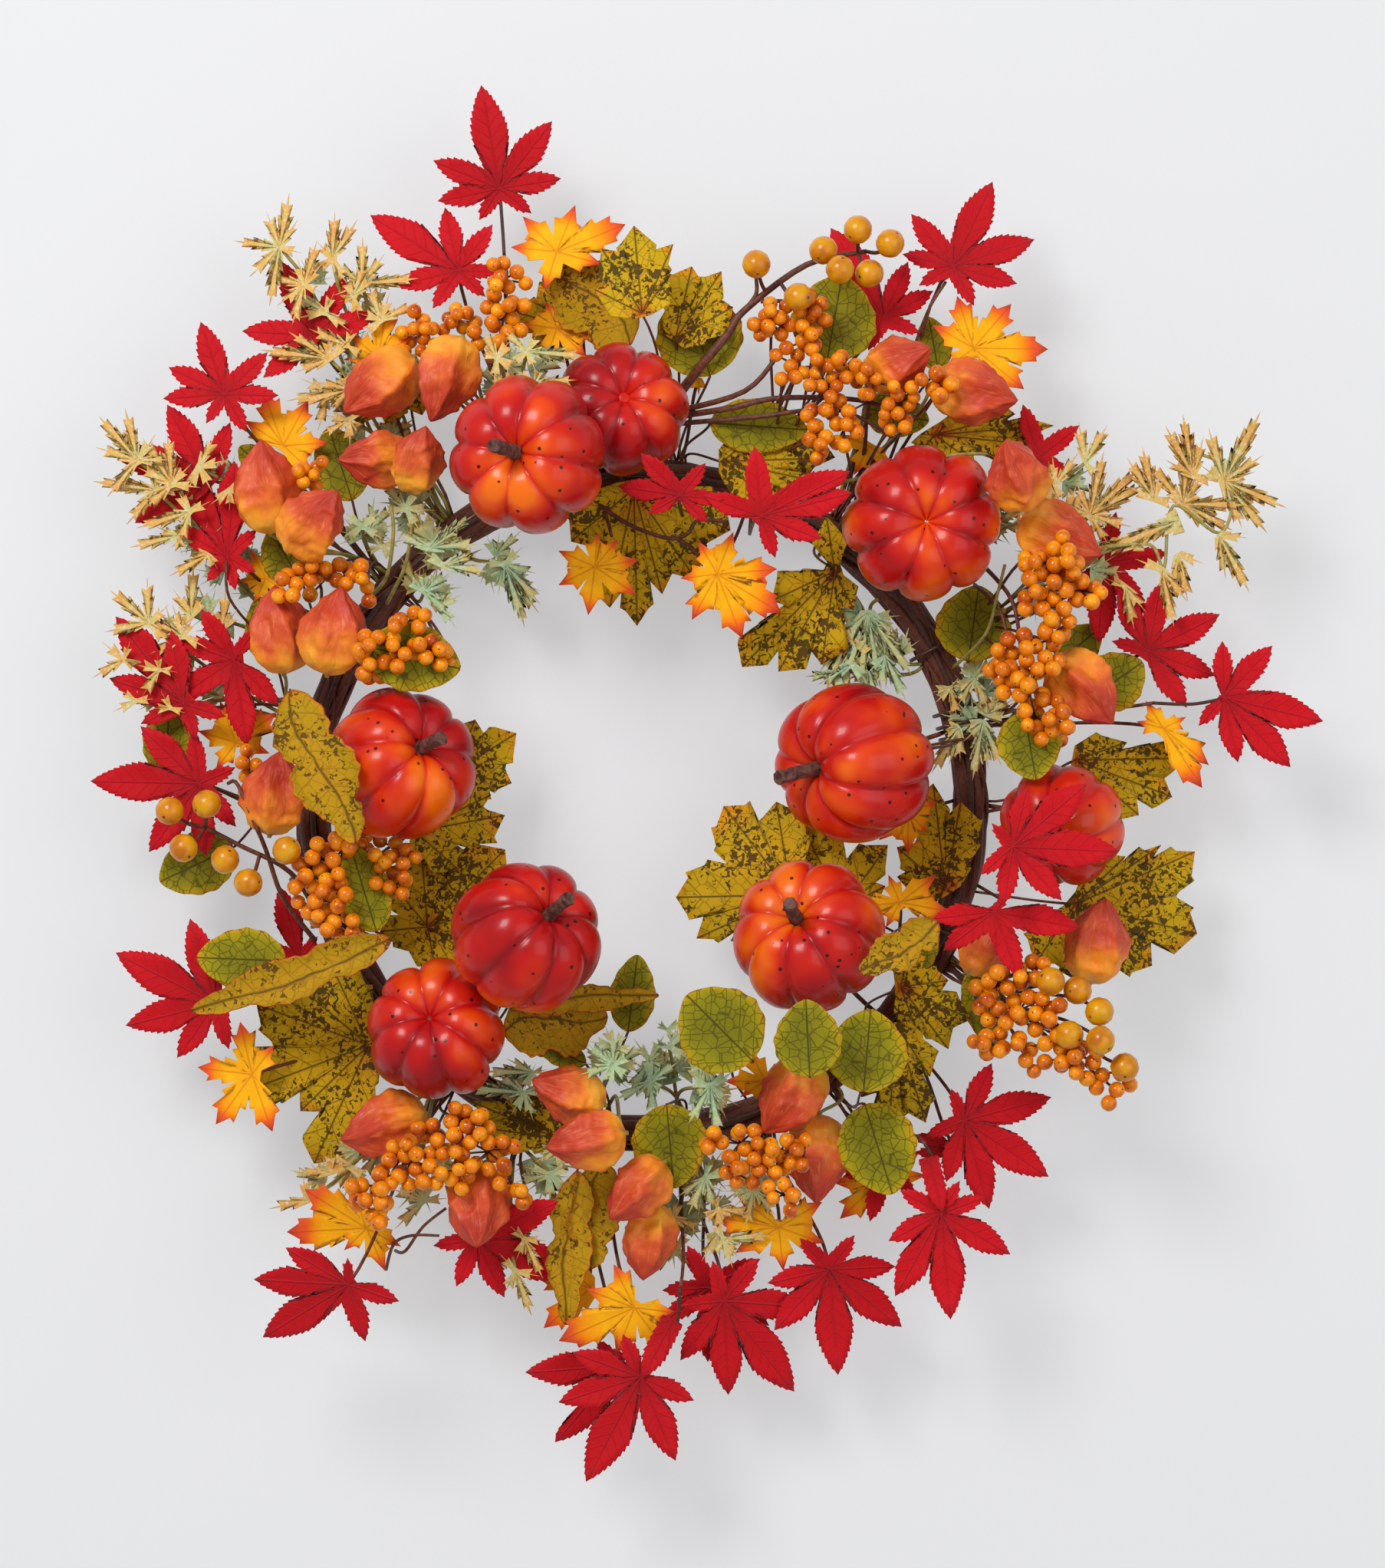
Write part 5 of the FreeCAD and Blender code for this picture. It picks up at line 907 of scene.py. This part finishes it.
def pumpkinPiece(number):
    # a pumpkin with its stem and far end; gives back its middle and size
    scale, way, orange, end = pumpkinTable[number]
    node = "pumpkin_%d" % number
    chance = random.Random(number)
    own = solidsOf(node)[0][2]
    middle = Vector((own.min(axis=0) + own.max(axis=0)) / 2)
    axis = Vector((way[0], -way[1], way[2])).normalized()
    coords, place = pumpkinShape(middle, axis, scale, orange, chance)
    settle(pieceFrom("pumpkin%d" % number, coords, ballFaces, foamSkin, {"skinPlace": place}), node)
    dimple = pumpkinLook["tall"] * math.sin(dimpleTurn) * scale * mm
    turn = Vector((0, 0, 1)).rotation_difference(axis)
    stemNode = "stem_%d" % number
    if stemNode in nodes:
        points = solidsOf(stemNode)[0][2]
        top = float(((points - np.array(middle)) @ np.array(axis)).max())
        foot = dimple - stemLook["seat"] * mm
        lean = Vector((chance.uniform(-1, 1), chance.uniform(-1, 1), 0)) * stemLook["lean"]
        shaped = []
        for corner in stemCorners:
            t = max(0.0, corner.z / stemTall)
            point = Vector((corner.x * scale, corner.y * scale, foot + (top - foot) * t))
            point += lean * (top - foot) * t * t
            gnarl = (noise.noise(corner * 500), noise.noise(corner * 500 + Vector((9, 0, 0))), 0)
            point += Vector(gnarl) * stemLook["gnarl"] * mm
            shaped.append(middle + turn @ point)
        settle(pieceFrom("pumpkinStem%d" % number, shaped, stemFaces, rubbedFoam), stemNode)
    if end:
        wide, high, finish = farEnds[end]
        out = -axis
        foot = middle + out * (dimple - 1.0 * mm)
        path = [foot + out * high * mm * up for up, part in farEndRings]
        coords, faces, _ = tube(path, [wide * part * mm for up, part in farEndRings], 20)
        knob = pieceFrom("blossomEnd%d" % number, coords, faces, finish, {"skinPlace": [(0.1, orange)] * len(coords)})
        addition(knob, node)
    return middle, scale


pumpkinMiddles = [pumpkinPiece(number) for number in sorted(pumpkinTable)]
print("pumpkins made")

# longer and wider are against the CAD pod; profile is (part of the length from the stalk, part of the radius)
podLook = dict(
    ridges=5, hollow=0.3, crumple=3.2, twist=0.5, longer=1.04, wider=2.36, collar=2.2, waves=95,
    profile=((0.0, 0.05), (0.015, 0.3), (0.06, 0.6), (0.16, 0.86), (0.32, 1.0), (0.5, 0.97), (0.66, 0.8), (0.8, 0.54),
             (0.92, 0.24), (1.0, 0.03)),
)
podCorners, podFaces = meshOf(ballMould(70, 36))


def podShape(base, axis, length, width, chance):
    # five sharp folds with hollow cheeks between them, drawn to a twisted point and crumpled all over
    spots, wide = zip(*podLook["profile"])
    turn = Vector((0, 0, 1)).rotation_difference(axis)
    spin, seed = chance.uniform(0, 6.28), chance.uniform(0, 40)
    squash = chance.uniform(0.82, 0.95)
    coords, place = [], []
    for corner in podCorners:
        t = 0.5 - math.asin(max(-1.0, min(1.0, corner.z))) / math.pi
        a = math.atan2(corner.y, corner.x)
        cheek = abs(math.sin(podLook["ridges"] / 2 * (a + podLook["twist"] * t * t)))
        fold = 1 - podLook["hollow"] * cheek ** 0.9 * min(1.0, 4 * t)
        radius = np.interp(t, spots, wide) * width / 2 * fold
        lift = podLook["collar"] * mm * (1 - cheek) * max(0.0, 1 - t / 0.16)
        point = Vector((radius * math.cos(a + spin), radius * math.sin(a + spin) * squash, length * t - lift))
        bent = point * podLook["waves"] + Vector((seed, 0, 0))
        full = min(1.0, 6 * t) * min(1.0, 5 * (1 - t))
        crush = abs(noise.noise(bent)) + 0.45 * abs(noise.noise(bent * 2.3))
        flat = Vector((point.x, point.y, 0))
        if flat.length > 1e-6:
            point += flat.normalized() * (0.35 - crush) * podLook["crumple"] * mm * full
        coords.append(base + turn @ point)
        place.append((a / 6.2832 + 0.5, t))
    return coords, place


for node in sorted(nodes):
    if not node.startswith("pods_"):
        continue
    chance = random.Random(node)
    bundle = Bundle()
    for points, tris, own in solidsOf(node):
        middle = own.mean(axis=0)
        axis = np.linalg.eigh(np.cov((own - middle).T))[1][:, 2]
        spread = (own - middle) @ axis
        low, high = spread.min(), spread.max()
        wide = np.linalg.norm((own - middle) - np.outer(spread, axis), axis=1)
        if wide[spread < low + 0.02 * (high - low)].max() < wide[spread > high - 0.02 * (high - low)].max():
            axis, low, high = -axis, -high, -low
        base = Vector(middle + axis * low)
        axis = Vector(axis)
        coords, place = podShape(base, axis, (high - low) * podLook["longer"], podLook["wider"] * wide.max(), chance)
        bundle.add(coords, podFaces, {"podPlace": place})
        stubPath = [base + axis * 2 * mm, base - axis * 1.5 * mm, base - axis * 3 * mm]
        stub, stubFaces, _ = tube(stubPath, [1.6 * mm, 1.2 * mm, 0.9 * mm], 8)
        bundle.add(stub, stubFaces, {"podPlace": [(0.5, 0.0)] * len(stub)}, slot=1)
        stalkEnds.append((base - axis * 2 * mm, "pod", node[5:]))
    settle(bundle.make("lanternPods" + titled(node[5:]), paperSkin, [greenStalk]), node)
print("pods made")

# the eye is a small flat at the end away from the stalk; more is how many tries a berry gets at a neighbour, fill its
# size and crowded how close two berries of a bunch are
berryLook = dict(segments=12, rings=8, eye=0.27, more=12, fill=(0.88, 1.04), crowded=1.35, hub=0.014)
ball = ballMould(berryLook["segments"], berryLook["rings"])
shapeFaces(ball, lambda face: face.center.z < -0.93, (bpy.ops.mesh.inset, dict(thickness=berryLook["eye"])),
           (bpy.ops.transform.translate, dict(value=(0, 0, 0.06))))
berrySlots = [1 if face.select else 0 for face in ball.data.polygons]
berryCorners, berryFaces = meshOf(ball)
firmTree = treeOf([obj for node, obj in nodes.items()
                   if node.startswith(("pumpkin_", "pods_")) and not node.endswith("wire")])


def berriesOf(node, chance, crowd):
    # where the berries of a node are, with more of them in the gaps of a crowded spray, and the CAD's own berries
    found = []
    for points, tris, own in solidsOf(node):
        low, high = own.min(axis=0), own.max(axis=0)
        found.append((Vector((low + high) / 2), float((high - low).max()) / 2))
    first = list(found)
    for middle, radius in first if crowd else []:
        for _ in range(berryLook["more"]):
            way = Vector((chance.uniform(-1, 1), chance.uniform(-0.9, 0.5), chance.uniform(-1, 1))).normalized()
            size = radius * chance.uniform(*berryLook["fill"])
            spot = middle + way * (radius + size) * 0.97
            gaps = [(spot - other).length / (r + size) for other, r in found if (spot - other).length < 0.02]
            near = sum(1 for gap in gaps if gap < berryLook["crowded"])
            free = firmTree.find_nearest(spot)[3] > size
            if min(gaps) > 0.93 and near >= 2 and spot.y < -0.006 and free:
                found.append((spot, size))
                break
    return found, first


hubs = []  # (where the berries of a bunch meet, the berries, the corner it belongs to)
for node in sorted(nodes):
    large = node.startswith("large_berries_")
    if not (node.startswith("berries_") or large):
        continue
    chance = random.Random(node)
    found, first = berriesOf(node, chance, not large)
    bundle = Bundle()
    for middle, radius in found:
        out = Vector((chance.uniform(-1, 1), -0.6, chance.uniform(-1, 1))).normalized()
        turn = Vector((0, 0, -1)).rotation_difference(out)
        grow = radius * (1.0 if large else 1.04)
        bundle.add([middle + (turn @ corner) * grow for corner in berryCorners], berryFaces, slots=berrySlots)
    name = ("largeBerries" if large else "smallBerries") + titled(node.split("berries_")[1])
    settle(bundle.make(name, largeBerrySkin if large else smallBerrySkin, [rubbedFoam]), node)
    if large:
        for middle, radius in first:
            stalkEnds.append((middle, "large", cornerOf(middle.x, middle.z)))
        continue
    left = [middle for middle, radius in found]
    while left:
        group = [m for m in left if (m - left[0]).length < berryLook["hub"]]
        left = [m for m in left if (m - left[0]).length >= berryLook["hub"]]
        hub = sum(group, Vector()) / len(group) + Vector((0, 0.004, 0))
        hubs.append((hub, group, node[8:]))
print("berries made")

# bunches is how many places on the ring the stalks are bound at, out how far from the canes' middle that is, in mm;
# then come the radii of the stalks, in mm, and how much a long and a stiff stalk sway aside
twigLook = dict(
    bunches=26, out=7.0, points=12, wood=0.8, green=0.85, berry=0.5, leaf=0.6, pumpkin=1.1, bunch=0.7, branch=0.9,
    sway=0.16, stiff=0.1,
)


def twigPath(start, sway, chance):
    # from a bunch on the canes, low along the wall side, then up to what it carries
    off = start - ringMiddle
    turn = math.atan2(off.z, off.x)
    step = 2 * math.pi / twigLook["bunches"]
    turn = (round(turn / step) + chance.uniform(-0.12, 0.12)) * step
    way = Vector((math.cos(turn), 0, math.sin(turn)))
    outside = 1 if math.hypot(off.x, off.z) > ringReach * mm else -1
    spot = ringMiddle + way * (ringReach + outside * twigLook["out"]) * mm
    spot = spot + Vector((0, chance.uniform(-4, 3) * mm, 0))
    dist = (start - spot).length
    side = Vector((-way.z, 0, way.x)) * chance.uniform(-1, 1) * sway * dist
    second = spot + way * outside * dist * 0.35 + side
    second.y = max(spot.y, -0.012)
    third = start - (start - spot) * 0.3 - side * 0.6
    third.y = start.y + (spot.y - start.y) * 0.45
    path = []
    for k in range(twigLook["points"]):
        t = k / (twigLook["points"] - 1)
        path.append(
            spot * (1 - t) ** 3 + second * 3 * t * (1 - t) ** 2 + third * 3 * t * t * (1 - t) + start * t ** 3)
    return path


# twigs that show in front: kind, radius at its start and end in mm, run of (right, up, forward) in mm from the middle
# of the ring
shownTwigs = (
    ("wood", 2.3, 1.1, ((15, 178, 14), (26, 191, 30), (38, 205, 34), (45, 215, 34), (72, 235, 32), (98, 241, 30))),
    ("wood", 1.4, 0.9, ((14, 172, 12), (45, 180, 30), (60, 196, 33), (64, 200, 34))),
    ("wood", 1.5, 1.0, ((15, 170, 12), (40, 173, 28), (60, 177, 30), (95, 176, 32), (120, 168, 34))),
    ("wood", 1.2, 0.8, ((16, 167, 12), (50, 169, 26), (85, 172, 30), (110, 160, 30))),
    ("wood", 1.1, 0.8, ((45, 215, 34), (50, 222, 34), (50, 229, 34))),
    ("wood", 1.1, 0.8, ((52, 219, 34), (62, 219, 34))),
    ("wood", 1.0, 0.8, ((-20, 132, 10), (-5, 122, 22), (12, 116, 26), (20, 118, 26), (25, 124, 26), (38, 123, 26))),
    ("wood", 0.9, 0.7, ((13, 117, 26), (22, 112, 27), (27, 104, 27))),
    ("wood", 0.9, 0.7, ((-16, 128, 16), (-13, 117, 24))),
    ("wood", 1.3, 0.9, ((-140, -52, 16), (-153, -30, 30), (-175, -18, 34), (-190, -10, 34))),
    ("wood", 1.2, 0.8, ((-143, -60, 16), (-157, -40, 28), (-165, -15, 32), (-175, 8, 34), (-180, 9, 34))),
    ("wood", 1.0, 0.8, ((150, 104, 20), (161, 88, 44), (165, 65, 46), (168, 45, 46))),
    ("wood", 0.9, 0.7, ((146, 96, 18), (156, 84, 40), (160, 66, 44), (163, 52, 44))),
    ("wood", 0.8, 0.6, ((-108, -196, 16), (-103, -195, 30), (-95, -184, 34), (-85, -176, 34))),
    ("wood", 0.8, 0.6, ((-112, -204, 18), (-108, -192, 30), (-100, -188, 33), (-88, -188, 34))),
    ("wood", 0.7, 0.6, ((133, 228, 28), (125, 215, 26), (118, 196, 14))),
    ("wood", 0.7, 0.6, ((-181, 106, 30), (-180, 90, 28), (-168, 74, 12))),
    ("wood", 0.7, 0.6, ((150, 30, 8), (128, 26, 18), (112, 22, 26))),
    ("green", 0.9, 0.8, ((-118, 92, 12), (-111, 100, 28), (-108, 118, 34), (-109, 130, 34))),
    ("green", 0.9, 0.8, ((-112, 88, 12), (-103, 104, 30), (-100, 122, 34))),
    ("green", 0.8, 0.7, ((137, 60, 12), (150, 74, 34), (155, 92, 40), (158, 104, 42))),
    ("green", 0.8, 0.7, ((85, 140, 20), (130, 150, 40), (150, 152, 42))),
)
# places is where the leaflets grow along a stalk, fan their lobes, in steps of spread radians
sproutLook = dict(
    places=(0.5, 0.68, 0.86), fan=(-2.0, -1.0, 0.0, 1.0, 2.0), spread=0.62, length=(11, 17), thick=0.3, aside=0.7,
)


def sprout(bundle, path, chance):
    # small leaflets on alternate sides of a frosted stalk
    look = sproutLook
    for k, part in enumerate(look["places"]):
        here = path[int(part * (len(path) - 1))]
        ahead = path[min(int(part * (len(path) - 1)) + 1, len(path) - 1)] - here
        turn = math.atan2(ahead.z, ahead.x) + look["aside"] * (1 if k % 2 else -1) + chance.uniform(-0.3, 0.3)
        middle = np.array([here.x, here.z]) + 4 * mm * heading(turn)
        tips = []
        for step in look["fan"]:
            long = chance.uniform(*look["length"]) * (1 - 0.14 * abs(step)) * mm
            tips.append(middle + long * heading(turn + step * look["spread"]))
        lean = (chance.uniform(-0.25, 0.25), chance.uniform(-0.25, 0.25))
        plane = (here.y - 1.5 * mm - lean[0] * middle[0] - lean[1] * middle[1], lean[0], lean[1])
        bundle.add(*lobedLeaf(plane, middle, tips, "frosted", chance, chance.uniform(0.0, 0.75)))


sprouts = {words: Bundle() for words in cornerWords}
sheetTree = treeOf([piece for piece in pieces
                    if "eaves" in piece.name or piece.name.startswith(("pumpkin", "lantern"))])
corners = {words: Bundle() for words in cornerWords}
chance = random.Random(11)
overLeaf, clearOfLeaf = 12 * mm, 1.3 * mm
stout = 1.25  # a twig thicker than this at its start is a branch for the large berries


def liftedOver(run):
    # raises a run just clear of the leaf that lies under it, unless that leaf is far in front
    lifted = []
    for point in run:
        hit = sheetTree.ray_cast(Vector((point.x, -0.2, point.z)), Vector((0, 1, 0)))[0]
        if hit is not None and -overLeaf < hit.y - point.y < 0.0:
            point = Vector((point.x, hit.y - clearOfLeaf, point.z))
        lifted.append(point)
    for _ in range(3):
        for k in range(1, len(lifted) - 1):
            lifted[k].y = min(lifted[k].y, (lifted[k - 1].y + lifted[k + 1].y) / 2)
    return lifted


branchPoints = []
for kind, thick, thin, run in shownTwigs:
    path = liftedOver([Vector(p) for p in smoothRun([placed(spot) for spot in run], 5)])
    radii = [(thick + (thin - thick) * k / (len(path) - 1)) * mm for k in range(len(path))]
    if thick > stout:
        branchPoints += path
    coords, faces, maps = tube(path, radii, 8, drift=chance.uniform(0, 9))
    corners[cornerOf(path[0].x, path[0].z)].add(coords, faces, maps, slot=1 if kind == "green" else 0)
for start, kind, words in stalkEnds:
    if kind == "large":
        # a side stalk from the nearest place on a branch
        near = min(branchPoints, key=lambda p: (p - start).length)
        if (near - start).length < 0.05:
            bend = (near + start) / 2 + Vector((0, 0.002, -0.002))
            corners[words].add(*tube(smoothRun([near, bend, start], 4), twigLook["branch"] * mm, 6))
            continue
    green = kind in ("frosted", "pod")
    size = "green" if green else "wood" if kind in ("red", "orange", "large") else "leaf"
    path = twigPath(start, twigLook["sway"], chance)
    coords, faces, maps = tube(path, twigLook[size] * mm, 6, drift=chance.uniform(0, 9))
    corners[words].add(coords, faces, maps, slot=1 if green else 0)
    if kind == "frosted":
        sprout(sprouts[words], path, chance)
for hub, group, words in hubs:
    corners[words].add(*tube(twigPath(hub, twigLook["stiff"], chance), twigLook["bunch"] * mm, 6))
    for middle in group:
        bend = (hub + middle) / 2 + Vector((0, 0.001, 0))
        corners[words].add(*tube([hub, bend, middle], twigLook["berry"] * mm, 5))
for middle, scale in pumpkinMiddles:
    back = middle + Vector((0, 18 * mm * scale, 0))
    path = twigPath(back, twigLook["stiff"], chance)
    corners[cornerOf(middle.x, middle.z)].add(*tube(path, twigLook["pumpkin"] * mm, 6))
for words in cornerWords:
    settle(corners[words].make("twigs" + titled(words), twigBark, [greenStalk]), "wires_" + words)
    leaflets = thickened(sprouts[words].make("sprouts" + titled(words), frostedPlastic), sproutLook["thick"])
    addition(leaflets, "wires_" + words)
print("twigs bound")

# thick canes side by side with thinner ones wound over them: for each sort its count, sides, radius, how far it winds
# from the middle and how many turns each takes, in mm
vineLook = dict(
    steps=220, thick=dict(count=6, sides=12, radius=(2.9, 3.3), off=4.6, turns=(2,)),
    thin=dict(count=7, sides=7, radius=(0.7, 1.1), off=6.9, turns=(5, -4, 3, -3, 6, -5, 4)),
)
chance = random.Random(3)
bundle = Bundle()
strands = [vineLook["thick"]] * vineLook["thick"]["count"] + [vineLook["thin"]] * vineLook["thin"]["count"]
for strand, sort in enumerate(strands):
    start = 2 * math.pi * strand / sort["count"]
    turns = sort["turns"][strand % len(sort["turns"])]
    size = chance.uniform(*sort["radius"])
    phase = chance.uniform(0, 6.28)
    path, radii = [], []
    for k in range(vineLook["steps"]):
        a = 2 * math.pi * k / vineLook["steps"]
        b = start + turns * a + 0.3 * math.sin(4 * a + phase)
        reach = ringReach + sort["off"] * math.cos(b) + 0.4 * math.sin(13 * a + phase)
        path.append(ringMiddle + Vector((reach * math.cos(a), -sort["off"] * math.sin(b), reach * math.sin(a))) * mm)
        radii.append(size * (1 + 0.1 * math.sin(9 * a + phase) + 0.08 * math.sin(31 * a + 2 * phase)) * mm)
    path.append(path[0].copy())
    radii.append(radii[0])
    bundle.add(*tube(path, radii, sort["sides"], cap=False, drift=strand * 3.0))
vine = bundle.make("twistedCanes", caneBark)
finishWith(vine, "WELD", merge_threshold=1e-5)
settle(vine, "vine_canes")
print("canes twisted")

# the CAD nodes that still show; the rest are hidden behind the pieces that replace them
finishes = {"spine_wire": paintedWire, "pumpkin_4_wire": paintedWire, "cane_wraps": lacqueredSteel,
            "hanger_clip": lacqueredSteel, "hanger_loop": bareSteel}
for node, obj in nodes.items():
    obj.data.materials.clear()
    obj.data.materials.append(finishes.get(node, frostedPlastic))

# glow is how much of the wall's paleness is its own; view is the height of the picture in metres at the wreath
stageLook = dict(wall="#E8E9EB", gap=0.012, wide=3.0, glow=0.52, key=24, fill=12, sky=0.46, view=0.6813, far=2.5)
bpy.ops.object.select_all(action="DESELECT")
bpy.ops.mesh.primitive_plane_add(
    size=stageLook["wide"], location=(0, stageLook["gap"], ringMiddle.z), rotation=(math.radians(90), 0, 0))
wall = bpy.context.object
wall.name = "wall"
wallColour = linear(stageLook["wall"])
material, tree, shader, _ = newMaterial("plainPaintedWall", {"Base Color": wallColour, "Roughness": 0.9})
# part of the wall's paleness is its own, so that the object's shadow stays soft; it is clear from behind
glow = addNode(tree, "Emission", {"Color": wallColour, "Strength": 0.98})
rays = addNode(tree, "LightPath").node
seen = addNode(tree, "Math", {0: rays.outputs["Is Camera Ray"], 1: rays.outputs["Is Glossy Ray"]},
               operation="MAXIMUM")
seen = addNode(tree, "Math", {0: seen, 1: stageLook["glow"]}, operation="MULTIPLY")
lit = addNode(tree, "MixShader", {0: seen, 1: shader.outputs[0], 2: glow})
clear = addNode(tree, "BsdfTransparent")
behind = addNode(tree, "NewGeometry", out="Backfacing")
both = addNode(tree, "MixShader", {0: behind, 1: lit, 2: clear})
tree.links.new(both, tree.nodes["Material Output"].inputs["Surface"])
wall.data.materials.append(material)

scene = bpy.context.scene
cameraData = bpy.data.cameras.new("camera")
camera = bpy.data.objects.new("camera", cameraData)
scene.collection.objects.link(camera)
camera.location = Vector((0.0223, -0.052 - stageLook["far"], ringMiddle.z + 0.0087))
camera.rotation_euler = (math.radians(90), 0, 0)
cameraData.sensor_fit = "VERTICAL"
cameraData.sensor_height = 36
cameraData.lens = cameraData.sensor_height * stageLook["far"] / stageLook["view"]
scene.camera = camera


def softLamp(name, place, size, power):
    data = bpy.data.lights.new(name, "AREA")
    data.size = size
    data.energy = power
    obj = bpy.data.objects.new(name, data)
    scene.collection.objects.link(obj)
    obj.location = place
    aim = Vector((0, -0.05, ringMiddle.z)) - Vector(place)
    obj.rotation_euler = aim.to_track_quat("-Z", "Y").to_euler()


softLamp("key", (-0.75, -1.6, 0.85), 0.7, stageLook["key"])
softLamp("fill", (1.25, -1.8, 0.0), 1.6, stageLook["fill"])
world = bpy.data.worlds.new("world")
scene.world = world
world.use_nodes = True
sky = world.node_tree.nodes["Background"].inputs
sky["Color"].default_value = (1, 1, 1, 1)
sky["Strength"].default_value = stageLook["sky"]
scene.view_settings.view_transform = "Standard"
print("stage set")
